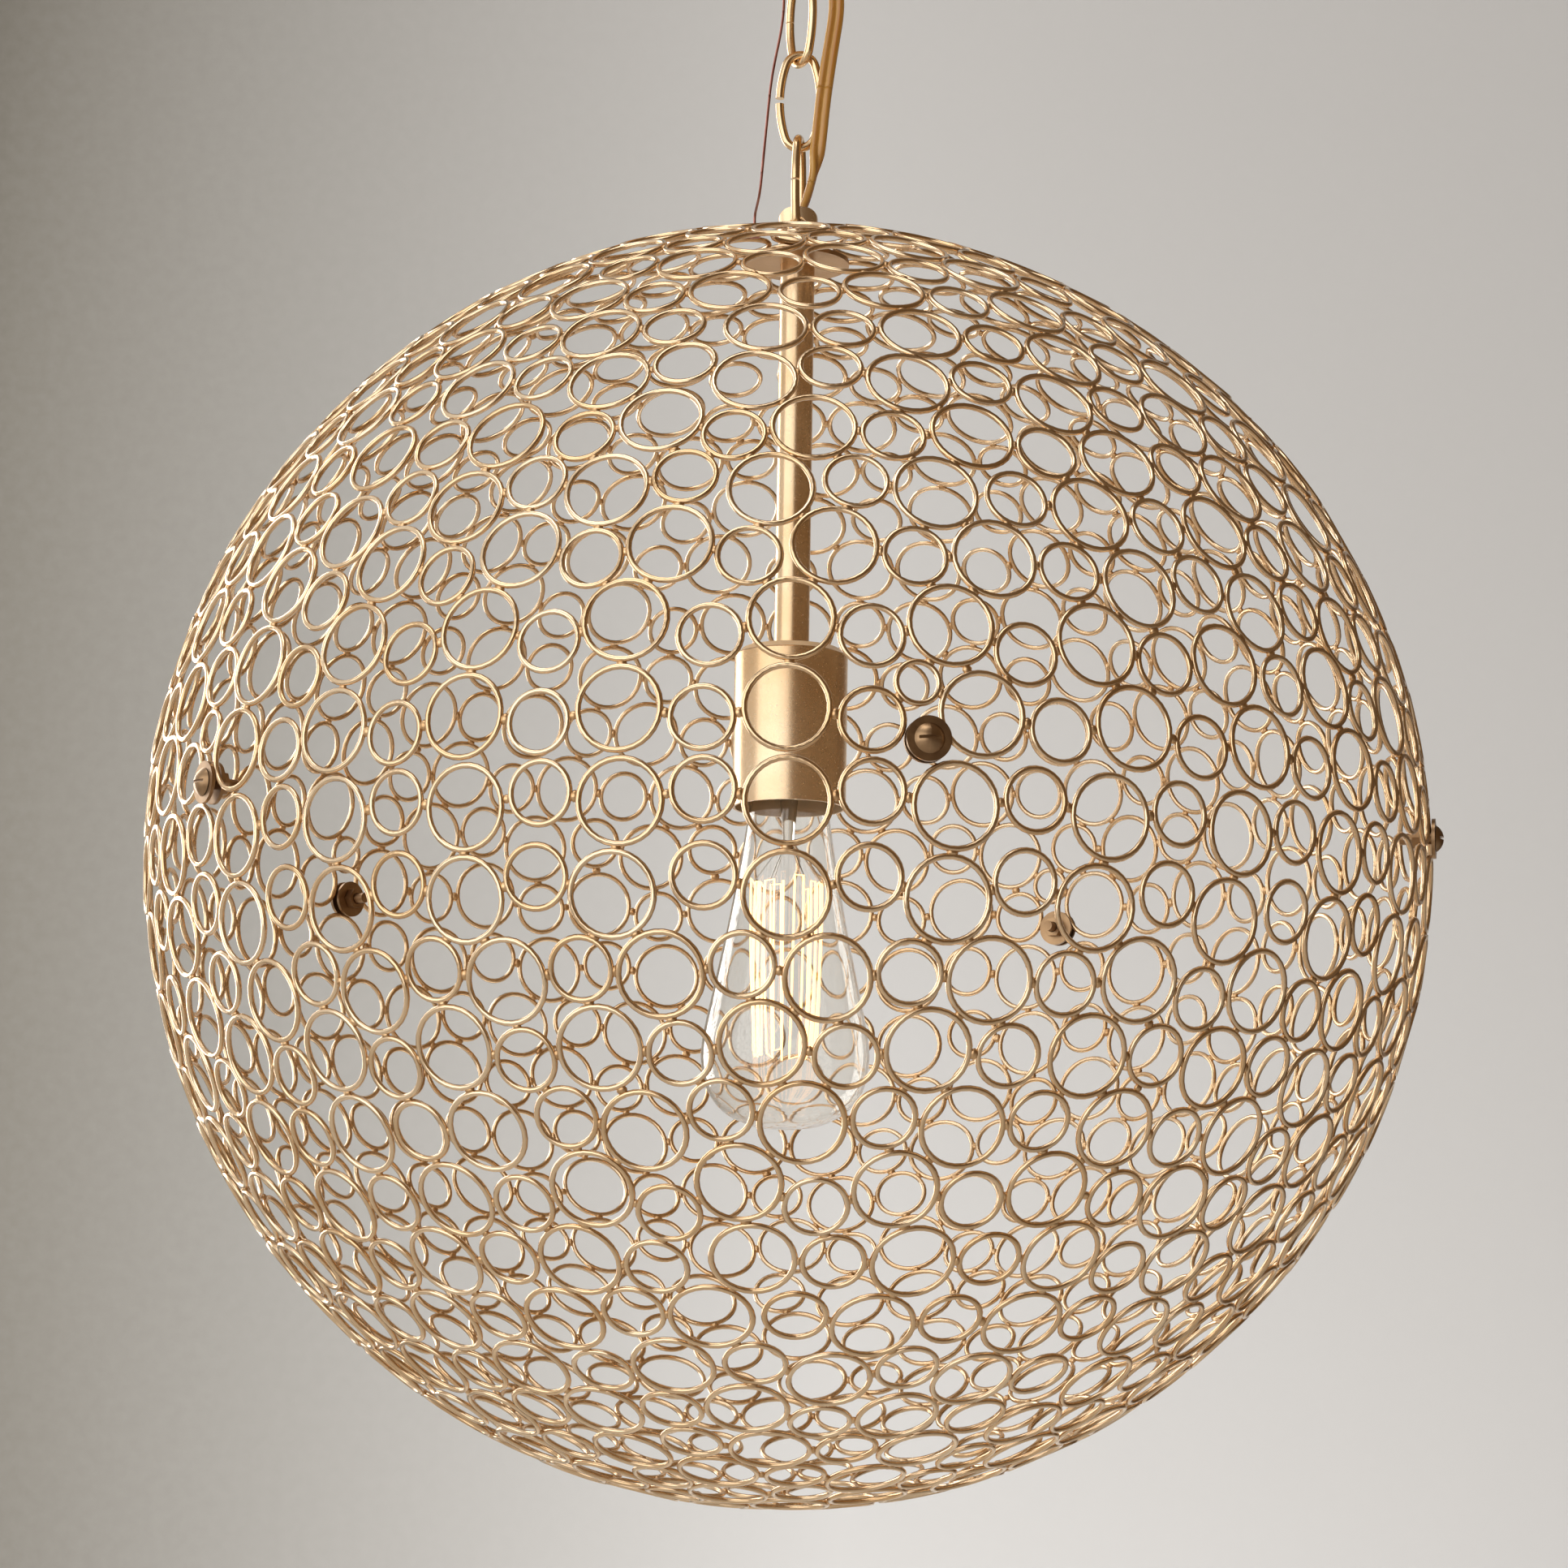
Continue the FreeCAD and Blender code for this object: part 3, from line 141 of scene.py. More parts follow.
def add_light():
    """A wide window behind the viewer's left shoulder, a pane beyond the orb's left, and a dim
    room on the right."""
    for name, values in LAMPS.items():
        add_lamp(name, *values)
    world = bpy.data.worlds.new("room")
    world.use_nodes = True
    nodes = world.node_tree.nodes
    links = world.node_tree.links
    nodes.clear()
    out = nodes.new("ShaderNodeOutputWorld")
    shade = nodes.new("ShaderNodeBackground")
    place = nodes.new("ShaderNodeTexCoord")
    split = nodes.new("ShaderNodeSeparateXYZ")
    links.new(place.outputs["Generated"], split.inputs[0])
    share = nodes.new("ShaderNodeMapRange")
    share.interpolation_type = "SMOOTHSTEP"
    share.inputs["From Min"].default_value, share.inputs["From Max"].default_value = GLOW_SPAN
    links.new(split.outputs["X"], share.inputs["Value"])
    factor, window, dim, glow = colour_mix(world.node_tree)
    links.new(share.outputs["Result"], factor)
    window.default_value = WINDOW_GLOW
    dim.default_value = DIM_GLOW
    links.new(glow, shade.inputs["Color"])
    links.new(shade.outputs[0], out.inputs[0])
    bpy.context.scene.world = world
    bpy.context.scene.view_settings.view_transform = "Standard"


def colour_mix(tree):
    """A new colour mix in a node tree: its factor, its two colours and its result."""
    made = tree.nodes.new("ShaderNodeMix")
    made.data_type = "RGBA"
    first, second = [item for item in made.inputs if item.type == "RGBA"]
    result = [item for item in made.outputs if item.type == "RGBA"][0]
    return made.inputs["Factor"], first, second, result


def add_room():
    """A pale floor far below the orb, and a pale wall behind it whose colour carries painted shade
    towards its sides and a painted pool of window light at its far left.
    """
    wall_paint = Painter("wall_paint")
    wall_paint.flat("Roughness", 0.9)
    place = wall_paint.node("ShaderNodeTexCoord")
    split = wall_paint.node("ShaderNodeSeparateXYZ")
    wall_paint.link(place.outputs["Object"], split.inputs[0])
    # Painted shade: the wall's colour darkens from its middle towards the left.
    across = wall_paint.spread(split.outputs["X"], -0.74, 0.05)
    tone = wall_paint.mix(across, (0.22, 0.208, 0.18), (0.68, 0.688, 0.695))
    # Painted shade: far to the right the wall's colour darkens to brown.
    painted_shade_right = wall_paint.spread(split.outputs["X"], 0.75, 1.6)
    tone = wall_paint.mix(painted_shade_right, tone, (0.20, 0.14, 0.09))
    # Painted window light: at its far left the wall's colour turns pale again.
    painted_window_light = wall_paint.spread(split.outputs["X"], -0.95, -1.5)
    tone = wall_paint.mix(painted_window_light, tone, (0.78, 0.76, 0.73))
    grain = wall_paint.noise(90, 3)
    tone = wall_paint.mix(wall_paint.spread(grain, 0.3, 0.7, 0, 0.04), tone, (0.8, 0.8, 0.8))
    wall_paint.feed("Base Color", tone)
    wall_paint.bump(grain, 0.05, 0.0004)
    wall = plain_sheet("wall", (-ROOM_REACH, WALL_Y, FLOOR_Z), (ROOM_REACH, WALL_Y, WALL_TOP))
    floor_paint = Painter("floor_paint")
    floor_paint.flat("Roughness", 0.8)
    cloud = floor_paint.noise(6, 3)
    floor_paint.feed("Base Color", floor_paint.mix(cloud, (0.62, 0.59, 0.55), (0.69, 0.66, 0.62)))
    near_corner = (-ROOM_REACH, -ROOM_REACH, FLOOR_Z)
    floor = plain_sheet("floor", near_corner, (ROOM_REACH, WALL_Y, FLOOR_Z))
    for sheet, paint in ((wall, wall_paint), (floor, floor_paint)):
        sheet.data.materials.append(paint.material)


def plain_sheet(name, low, high):
    """A flat rectangle between two corners, one of whose coordinates they share."""
    x0, y0, z0 = low
    x1, y1, z1 = high
    corners = [(x0, y0, z0), (x1, y0, z0), (x1, y1, z1), (x0, y1, z1)]
    mesh = bpy.data.meshes.new(name)
    mesh.from_pydata(corners, [], [(0, 1, 2, 3)])
    return put(name, mesh)


def put(name, mesh):
    """A new object of a mesh, put in the scene."""
    piece = bpy.data.objects.new(name, mesh)
    bpy.context.scene.collection.objects.link(piece)
    return piece


# ------------------------------------------------------------------ materials


class Painter:
    """Builds one material around a Principled shader, a node at a time."""

    def __init__(self, name):
        self.material = bpy.data.materials.new(name)
        self.material.use_nodes = True
        self.tree = self.material.node_tree
        self.shader = self.tree.nodes["Principled BSDF"]

    def node(self, kind):
        return self.tree.nodes.new(kind)

    def link(self, source, target):
        self.tree.links.new(source, target)

    def flat(self, socket, value):
        self.shader.inputs[socket].default_value = value

    def feed(self, socket, source):
        self.link(source, self.shader.inputs[socket])

    def noise(self, scale, detail=2.0, stretch=None):
        """Noise in the object's own space, stretched where one is given."""
        made = self.node("ShaderNodeTexNoise")
        made.inputs["Scale"].default_value = scale
        made.inputs["Detail"].default_value = detail
        place = self.node("ShaderNodeTexCoord")
        start = place.outputs["Object"]
        if stretch is not None:
            mapping = self.node("ShaderNodeMapping")
            mapping.inputs["Scale"].default_value = stretch
            self.link(start, mapping.inputs["Vector"])
            start = mapping.outputs["Vector"]
        self.link(start, made.inputs["Vector"])
        return made.outputs["Fac"]

    def spread(self, source, low, high, bottom=0.0, top=1.0):
        """A value's share of the way from low to high, as a number from bottom to top."""
        made = self.node("ShaderNodeMapRange")
        span = {"From Min": low, "From Max": high, "To Min": bottom, "To Max": top}
        for socket, value in span.items():
            made.inputs[socket].default_value = value
        self.link(source, made.inputs["Value"])
        return made.outputs["Result"]

    def mix(self, factor, first, second):
        """A mix of two colours, each a tuple or a socket."""
        share, *targets, result = colour_mix(self.tree)
        self.link(factor, share)
        for target, value in zip(targets, (first, second)):
            if isinstance(value, tuple):
                target.default_value = (*value, 1)
            else:
                self.link(value, target)
        return result

    def attribute(self, name):
        """One number for each point of the mesh, as mesh_of stores it."""
        made = self.node("ShaderNodeAttribute")
        made.attribute_name = name
        return made.outputs["Fac"]

    def bump(self, height, strength, distance):
        made = self.node("ShaderNodeBump")
        made.inputs["Strength"].default_value = strength
        made.inputs["Distance"].default_value = distance
        self.link(height, made.inputs["Height"])
        self.feed("Normal", made.outputs["Normal"])

    def group(self, tree, **values):
        """A node group, with a value for each of its sockets named, a space as an underscore."""
        made = self.node("ShaderNodeGroup")
        made.node_tree = tree
        for socket, value in values.items():
            made.inputs[socket.replace("_", " ")].default_value = value
        return made


def satin_lacquer_group():
    """Cloudy tone, fine grain and a drift in gloss, as on a lacquered metal finish."""
    tree = bpy.data.node_groups.new("satin_lacquer", "ShaderNodeTree")
    face = tree.interface
    for name, kind in (
        ("Light Tone", "NodeSocketColor"), ("Deep Tone", "NodeSocketColor"),
        ("Cloud Scale", "NodeSocketFloat"), ("Grain Scale", "NodeSocketFloat"),
        ("Low Roughness", "NodeSocketFloat"), ("High Roughness", "NodeSocketFloat"),
        ("Piece Tone", "NodeSocketFloat"),
    ):
        face.new_socket(name, in_out="INPUT", socket_type=kind)
    for name, kind in (
        ("Color", "NodeSocketColor"), ("Roughness", "NodeSocketFloat"),
        ("Height", "NodeSocketFloat"),
    ):
        face.new_socket(name, in_out="OUTPUT", socket_type=kind)
    entry = tree.nodes.new("NodeGroupInput")
    leave = tree.nodes.new("NodeGroupOutput")
    place = tree.nodes.new("ShaderNodeTexCoord")

    def noise(scale, detail):
        made = tree.nodes.new("ShaderNodeTexNoise")
        made.inputs["Detail"].default_value = detail
        tree.links.new(place.outputs["Object"], made.inputs["Vector"])
        tree.links.new(entry.outputs[scale], made.inputs["Scale"])
        return made.outputs["Fac"]

    cloud = noise("Cloud Scale", 3.0)
    grain = noise("Grain Scale", 2.0)
    total = tree.nodes.new("ShaderNodeMath")
    total.operation = "ADD"
    tree.links.new(cloud, total.inputs[0])
    tree.links.new(entry.outputs["Piece Tone"], total.inputs[1])
    share = tree.nodes.new("ShaderNodeMapRange")
    share.inputs["From Min"].default_value = 0.3
    share.inputs["From Max"].default_value = 0.75
    tree.links.new(total.outputs[0], share.inputs["Value"])
    factor, light, deep, tint = colour_mix(tree)
    tree.links.new(share.outputs["Result"], factor)
    tree.links.new(entry.outputs["Light Tone"], light)
    tree.links.new(entry.outputs["Deep Tone"], deep)
    tree.links.new(tint, leave.inputs["Color"])
    gloss = tree.nodes.new("ShaderNodeMapRange")
    tree.links.new(grain, gloss.inputs["Value"])
    tree.links.new(entry.outputs["Low Roughness"], gloss.inputs["To Min"])
    tree.links.new(entry.outputs["High Roughness"], gloss.inputs["To Max"])
    tree.links.new(gloss.outputs["Result"], leave.inputs["Roughness"])
    tree.links.new(grain, leave.inputs["Height"])
    return tree


def lacquered(name, light, deep, rough, cloud=45.0, metallic=1.0, tone=None):
    """A lacquered material made with the shared satin group. A tone is the name of an attribute
    that shifts the mix of the two colours, a piece at a time."""
    paint = Painter(name)
    made = paint.group(
        satin, Light_Tone=(*light, 1), Deep_Tone=(*deep, 1), Cloud_Scale=cloud,
        Grain_Scale=GRAIN_SCALE, Low_Roughness=rough[0], High_Roughness=rough[1],
    )
    if tone is not None:
        paint.link(paint.attribute(tone), made.inputs["Piece Tone"])
    paint.feed("Base Color", made.outputs["Color"])
    paint.feed("Roughness", made.outputs["Roughness"])
    paint.flat("Metallic", metallic)
    paint.bump(made.outputs["Height"], 0.05, 0.00002)
    return paint.material


def matt_inside(material, radius):
    """Makes the finish matt within a radius of the lamp's axis, as inside a cup."""
    tree = material.node_tree
    place = tree.nodes.new("ShaderNodeTexCoord")
    flat = tree.nodes.new("ShaderNodeMapping")
    flat.inputs["Scale"].default_value = (1, 1, 0)
    reach = tree.nodes.new("ShaderNodeVectorMath")
    reach.operation = "LENGTH"
    outer = tree.nodes.new("ShaderNodeMath")
    outer.operation = "GREATER_THAN"
    outer.inputs[1].default_value = radius
    tree.links.new(place.outputs["Object"], flat.inputs["Vector"])
    tree.links.new(flat.outputs["Vector"], reach.inputs[0])
    tree.links.new(reach.outputs["Value"], outer.inputs[0])
    tree.links.new(outer.outputs[0], tree.nodes["Principled BSDF"].inputs["Metallic"])
    return material


GRAIN_SCALE = 900.0
# The light and deep tones that the gold pieces share.
GOLD = ((0.87, 0.68, 0.47), (0.73, 0.50, 0.28))
PLAIN_GOLD_GLOSS = (0.22, 0.30)
CUP_INSIDE = 0.0200

# Each finish: its light and deep tones, and its least and greatest roughness.
satin = satin_lacquer_group()
gold_wire = lacquered("gold_wire", *GOLD, (0.15, 0.26), tone="ring_tone")
gold_weld = lacquered(
    "gold_weld", (0.82, 0.58, 0.34), (0.50, 0.29, 0.13), (0.24, 0.4), cloud=300.0)
gold_satin = lacquered("gold_satin", *GOLD, PLAIN_GOLD_GLOSS, cloud=28.0)
gold_cup = matt_inside(lacquered("gold_cup", *GOLD, PLAIN_GOLD_GLOSS, cloud=28.0), CUP_INSIDE)
# A darker copy of the gold finish: painted shade, given to the check plate.
gold_painted_shade = lacquered(
    "gold_painted_shade", (0.62, 0.42, 0.24), (0.42, 0.26, 0.13), (0.3, 0.42), cloud=40.0)
gold_chain = lacquered(
    "gold_chain", (0.86, 0.66, 0.42), (0.70, 0.48, 0.26), (0.16, 0.22), cloud=60.0)
bronze = lacquered(
    "dark_bronze", (0.44, 0.29, 0.165), (0.27, 0.17, 0.095), (0.26, 0.4), cloud=180.0)
zinc = lacquered(
    "zinc_plate", (0.62, 0.62, 0.60), (0.44, 0.45, 0.45), (0.28, 0.45), cloud=90.0)
brass = lacquered(
    "contact_brass", (0.83, 0.66, 0.36), (0.62, 0.45, 0.2), (0.2, 0.36), cloud=120.0)
porcelain = lacquered(
    "holder_porcelain", (0.84, 0.76, 0.64), (0.70, 0.60, 0.47), (0.3, 0.45), metallic=0.0)
copper = lacquered(
    "bare_copper", (0.40, 0.17, 0.13), (0.20, 0.07, 0.06), (0.26, 0.4), cloud=150.0)


def clear_glass(name, tint):
    """Clear blown glass with a slight ripple."""
    paint = Painter(name)
    paint.flat("Base Color", (*tint, 1))
    paint.flat("Roughness", 0.02)
    paint.flat("IOR", 1.46)
    paint.flat("Transmission Weight", 1.0)
    ripple = paint.noise(60, 1.0)
    paint.bump(ripple, 0.04, 0.0004)
    return paint.material


def glowing_wire():
    """A hot filament, a little brighter and whiter along its middle."""
    paint = Painter("hot_filament")
    paint.flat("Roughness", 0.6)
    along = paint.attribute("heat")
    paint.feed("Base Color", paint.mix(along, (0.9, 0.5, 0.2), (1.0, 0.8, 0.5)))
    paint.feed("Emission Color", paint.mix(along, (1.0, 0.56, 0.24), (1.0, 0.84, 0.56)))
    paint.flat("Emission Strength", 3.2)
    return paint.material


def cord_jacket():
    """Amber vinyl over two copper cores, deeper in colour over each core."""
    paint = Painter("amber_jacket")
    core = paint.attribute("core")
    cloud = paint.noise(140, 3.0, stretch=(1, 1, 0.15))
    base = paint.mix(core, (0.80, 0.46, 0.11), (0.52, 0.21, 0.03))
    haze = paint.spread(cloud, 0.35, 0.7, 0, 0.35)
    paint.feed("Base Color", paint.mix(haze, base, (0.84, 0.52, 0.16)))
    paint.feed("Roughness", paint.spread(cloud, 0.3, 0.7, 0.2, 0.34))
    paint.flat("IOR", 1.5)
    paint.flat("Transmission Weight", 0.15)
    paint.flat("Coat Weight", 0.25)
    paint.flat("Coat Roughness", 0.12)
    paint.bump(cloud, 0.1, 0.0002)
    return paint.material


glass = clear_glass("bulb_glass", (0.985, 0.98, 0.96))
stem_glass = clear_glass("mount_glass", (0.96, 0.96, 0.94))
filament_glow = glowing_wire()
jacket = cord_jacket()

# ------------------------------------------------------------------ mesh helpers


def mesh_of(name, points, faces, material, **attributes):
    """A smooth object of vertices and faces, with one float attribute a point for each keyword."""
    mesh = bpy.data.meshes.new(name)
    mesh.from_pydata([tuple(point) for point in points], [], [tuple(face) for face in faces])
    mesh.shade_smooth()
    for key, values in attributes.items():
        layer = mesh.attributes.new(key, "FLOAT", "POINT")
        layer.data.foreach_set("value", np.asarray(values, dtype=np.float32))
    mesh.materials.append(material)
    return put(name, mesh)


def ring_template(sides_round, sides_wire):
    """A unit torus as angles round the ring and round the wire, with its faces."""
    turn = np.repeat(np.arange(sides_round) * 2 * math.pi / sides_round, sides_wire)
    roll = np.tile(np.arange(sides_wire) * 2 * math.pi / sides_wire, sides_round)
    faces = []
    for i in range(sides_round):
        here = i * sides_wire
        after = (i + 1) % sides_round * sides_wire
        for j in range(sides_wire):
            beside = (j + 1) % sides_wire
            faces.append((here + j, after + j, after + beside, here + beside))
    return turn, roll, np.array(faces)


def tube(path, section, facing=None):
    """Points and faces of a closed tube: a section, as pairs across and up, carried along a path.
    Facing gives the way that the section's width points at a place."""
    path = np.asarray(path, float)
    section = np.asarray(section, float)
    tangents = np.gradient(path, axis=0)
    tangents /= np.linalg.norm(tangents, axis=1)[:, None]
    across = np.array((0.0, 1.0, 0.0))
    points = []
    for place, tangent in zip(path, tangents):
        if facing is not None:
            across = np.array(facing(place))
        across = across - tangent * across.dot(tangent)
        across /= np.linalg.norm(across)
        up = np.cross(tangent, across)
        points.extend(place + a * across + b * up for a, b in section)
    sides = len(section)
    faces = []
    for i in range(len(path) - 1):
        here = i * sides
        after = here + sides
        for j in range(sides):
            beside = (j + 1) % sides
            faces.append((here + j, here + beside, after + beside, after + j))
    faces.append(tuple(range(sides))[::-1])
    faces.append(tuple(range((len(path) - 1) * sides, len(path) * sides)))
    return points, faces


def round_section(radius, sides):
    """The outline of a round wire, as pairs."""
    angles = np.arange(sides) * 2 * math.pi / sides
    return np.stack((np.cos(angles), np.sin(angles)), axis=1) * radius


# ------------------------------------------------------------------ the ball of rings

# The sides of a ring and of its wire, and the spread of a ring's tilt and tone.
RING_SIDES = 30
WIRE_SIDES = 6
RING_TILT = 0.012
RING_TONE_DRIFT = 0.09

# A bead of weld bridges two rings that stand less than WELD_GAP apart. It runs BEAD_BITE into
# each wire, and stands BEAD_SINK lower than the wires' middle.
WELD_GAP = 0.0013
BEAD_BITE = 0.0011
BEAD_HALF_WIDTH = 0.00175
BEAD_HALF_HEIGHT = 0.00102
BEAD_SINK = RING_WIRE * 0.1
BEAD_SIDES = 8
BEAD_POINTS = 3 * BEAD_SIDES + 2


def loose_parts(node):
    """The points of each loose part of a CAD node's mesh."""
    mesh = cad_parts[node].data
    points = np.zeros(len(mesh.vertices) * 3, np.float32)
    mesh.vertices.foreach_get("co", points)
    points = points.reshape(-1, 3)
    edges = np.zeros(len(mesh.edges) * 2, np.int32)
    mesh.edges.foreach_get("vertices", edges)
    rounded, merged = np.unique(np.round(points, 6), axis=0, return_inverse=True)
    merged = merged.ravel()
    edges = merged[edges.reshape(-1, 2)]
    label = np.arange(len(rounded))
    while True:
        low = np.minimum(label[edges[:, 0]], label[edges[:, 1]])
        new = label.copy()
        np.minimum.at(new, edges[:, 0], low)
        np.minimum.at(new, edges[:, 1], low)
        new = new[new]
        if (new == label).all():
            break
        label = new
    return [rounded[label == mark] for mark in np.unique(label)]


def ring_places(node):
    """The direction from the orb's centre and the outer radius of each ring in a CAD node."""
    rings = []
    for part in loose_parts(node):
        middle = part.mean(axis=0)
        direction = middle - np.array(ORB_CENTRE)
        direction /= np.linalg.norm(direction)
        reach = np.linalg.norm(part - middle, axis=1).max()
        radius = min((d / 2 for d in RING_DIAMETERS), key=lambda size: abs(size - reach))
        rings.append((direction, radius))
    return rings


def ring_frame(direction):
    """Two unit vectors across a direction."""
    side = np.cross((0.0, 0.0, 1.0), direction)
    if np.linalg.norm(side) < 1e-6:
        side = np.array((1.0, 0.0, 0.0))
    side /= np.linalg.norm(side)
    return side, np.cross(direction, side)


def wire_rings(name, rings, body, chance):
    """Round wire rings at the given places, each with a slight tilt and a tone of its own."""
    turn, roll, faces = ring_template(RING_SIDES, WIRE_SIDES)
    points = []
    quads = []
    tones = []
    for direction, radius in rings:
        side, up = ring_frame(direction)
        tilt = chance.gauss(0, RING_TILT), chance.gauss(0, RING_TILT)
        normal = direction + side * tilt[0] + up * tilt[1]
        normal /= np.linalg.norm(normal)
        side, up = ring_frame(normal)
        start = chance.uniform(0, 2 * math.pi)
        middle = np.array(ORB_CENTRE) + direction * BALL_RADIUS
        spoke = np.outer(np.cos(turn + start), side) + np.outer(np.sin(turn + start), up)
        reach = radius - RING_WIRE / 2 + RING_WIRE / 2 * np.cos(roll)
        place = middle + spoke * reach[:, None] + np.outer(RING_WIRE / 2 * np.sin(roll), normal)
        quads.append(faces + len(points) * len(turn))
        points.append(place)
        tones.append(np.full(len(turn), chance.gauss(0, RING_TONE_DRIFT)))
    quads = np.concatenate(quads)[:, ::-1].tolist()
    piece = mesh_of(
        name, np.concatenate(points), quads, gold_wire, ring_tone=np.concatenate(tones))
    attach(piece, body)
    return piece


def bead_template():
    """A ball of unit radius: a point at each pole and three rows of points between them."""
    points = [(0, 0, 1)]
    for level in range(1, 4):
        lean = level * math.pi / 4
        for k in range(BEAD_SIDES):
            angle = k * 2 * math.pi / BEAD_SIDES
            across = math.sin(lean)
            points.append((across * math.cos(angle), across * math.sin(angle), math.cos(lean)))
    points.append((0, 0, -1))
    rows = [1 + level * BEAD_SIDES for level in range(3)]
    faces = []
    for k in range(BEAD_SIDES):
        after = (k + 1) % BEAD_SIDES
        faces.append((0, rows[0] + k, rows[0] + after))
        faces.append((BEAD_POINTS - 1, rows[2] + after, rows[2] + k))
        for above, below in zip(rows, rows[1:]):
            faces.append((above + k, below + k, below + after, above + after))
    return np.array(points, float), faces


def weld_beads(name, rings, body, chance):
    """A bead of weld at each place where two rings meet."""
    ball, faces = bead_template()
    directions = np.array([ring[0] for ring in rings])
    radii = np.array([ring[1] for ring in rings])
    spans = np.arcsin(radii / BALL_RADIUS)
    points = []
    all_faces = []
    count = 0
    for i in range(len(rings)):
        apart = np.arccos(np.clip(directions[i + 1:] @ directions[i], -1, 1))
        gap = (apart - spans[i + 1:] - spans[i]) * BALL_RADIUS
        for k in np.nonzero(gap < WELD_GAP)[0]:
            j = i + 1 + k
            towards = directions[j] - directions[i] * directions[i].dot(directions[j])
            towards /= np.linalg.norm(towards)
            angle = spans[i] + gap[k] / BALL_RADIUS / 2
            out = directions[i] * math.cos(angle) + towards * math.sin(angle)
            along = towards * math.cos(angle) - directions[i] * math.sin(angle)
            beside = np.cross(out, along)
            size = chance.uniform(0.85, 1.15)
            reach = np.array(
                (max(gap[k], 0) / 2 + BEAD_BITE, BEAD_HALF_WIDTH * size, BEAD_HALF_HEIGHT * size))
            height = BALL_RADIUS + ring_lift(radii[i]) - BEAD_SINK
            place = np.array(ORB_CENTRE) + out * height
            points.append(place + ball * reach @ np.stack((along, beside, out)))
            all_faces.extend(tuple(n + BEAD_POINTS * count for n in face) for face in faces)
            count += 1
    piece = mesh_of(name, np.concatenate(points), all_faces, gold_weld)
    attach(piece, body)
    return piece


def ring_lift(radius):
    """How far a flat ring's rim stands off the ball on which its centre lies."""
    return math.sqrt(BALL_RADIUS ** 2 + (radius - RING_WIRE / 2) ** 2) - BALL_RADIUS


def dress_cage():
    """Both halves of the cage: round wire for the CAD rings, and a bead at each contact."""
    chance = random.Random(11)
    for half, body in (("upper", "lamp"), ("lower", "lower_cage")):
        every = []
        nodes = [f"{half}_band_{k}" for k in range(1, 8)] + [f"{half}_pole_ring"]
        if half == "upper":
            nodes.append("upper_mini_rings")
        for node in nodes:
            rings = ring_places(node)
            every.extend(rings)
            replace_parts(wire_rings(f"{node}_wire", rings, body, chance), node)
        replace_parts(weld_beads(f"{half}_welds", every, body, chance), f"{half}_weld_beads")


# ------------------------------------------------------------------ cord and ground wire

# The control points of each lead, from the canopy down.
CORD_ROUTE = (
    (0.0006, 0.0, EYE_BAR + 0.03325), (0.0006, 0.0, EYE_BAR + 0.01725),
    (0.0055, -0.0020, EYE_BAR + 0.00625), (0.0125, -0.0048, EYE_BAR - 0.00325),
    (0.0132, -0.0050, EYE_BAR - 0.01275), (0.0112, -0.0049, BAR_THREE + 0.00515),
    (0.0099, -0.0049, BAR_THREE - 0.00435), (0.0083, -0.0049, BAR_THREE - 0.01735),
    (0.0072, -0.0047, BAR_TWO + 0.0018), (0.0060, -0.0034, BAR_TWO - 0.0082),
    (0.0034, 0.0004, BAR_ONE + 0.01445), (0.0012, 0.0026, BAR_ONE + 0.00935),
    (0.0044, 0.0004, BAR_ONE), (0.0012, 0.0, BAR_ONE - 0.00615),
    (0.0012, 0.0, BAR_ONE - 0.02405),
)
GROUND_ROUTE = (
    (-0.0024, 0.0, EYE_BAR + 0.03325), (-0.0024, 0.0, EYE_BAR + 0.01825),
    (-0.0072, -0.0002, EYE_BAR + 0.00425), (-0.0064, -0.0026, EYE_BAR - 0.00675),
    (-0.0070, -0.0035, EYE_BAR - 0.01875), (-0.0106, -0.0044, BAR_THREE - 0.00585),
    (-0.0119, -0.0056, BAR_TWO + 0.0108), (-0.0131, -0.0075, BAR_TWO - 0.0052),
    (-0.0141, -0.0125, BAR_ONE + 0.01145), (-0.0151, -0.0250, BAR_ONE + 0.00145),
    (-0.0158, -0.0360, BAR_ONE - 0.00605),
)

# Each lead is cut into four stretches. A cut lies halfway between a control point, by its number
# from 0, and the one before it. Each stretch has two bodies and two bend heights, which are not
# used.
CORD_CUTS = (4, 7, 10)
GROUND_CUTS = (4, 6, 8)
JOINT_BODIES = (
    ("ceiling_mount", "link_3"), ("link_3", "link_2"), ("link_2", "link_1"), ("link_1", "lamp"),
)
CORD_BENDS = ((-0.032, -0.0515), (-0.058, -0.0855), (-0.094, -0.1205), (-0.126, -0.146))
GROUND_BENDS = ((-0.032, -0.056), (-0.062, -0.0885), (-0.095, -0.1205), (-0.126, -0.146))

# The flat cord: the radius round each core, the distance between the cores, the share of its
# radius at which a core's outline meets the other's, and the heights between which the cord turns
# from flat to the viewer to edge on.
CORE_RADIUS = 0.00145
CORES_APART = 0.0029
CORES_MEET = 0.92
FLAT_AT = -0.108
EDGE_ON_AT = -0.121

# The ground wire, which ends LUG_RISE above the middle of its lug.
COPPER_DIAMETER = 0.001
COPPER_SIDES = 8
LUG_RISE = 0.002


def spline_points(name, route):
    """Points read from the smooth curve whose control points are the route's."""
    curve = bpy.data.curves.new(name, "CURVE")
    curve.dimensions = "3D"
    curve.resolution_u = 14
    spline = curve.splines.new("NURBS")
    spline.points.add(len(route) - 1)
    for point, place in zip(spline.points, route):
        point.co = (*place, 1)
    spline.order_u = 3
    spline.use_endpoint_u = True
    holder = bpy.data.objects.new(name, curve)
    mesh = bpy.data.meshes.new_from_object(holder)
    points = [Vector(vertex.co) for vertex in mesh.vertices]
    bpy.data.objects.remove(holder)
    bpy.data.curves.remove(curve)
    bpy.data.meshes.remove(mesh)
    return points


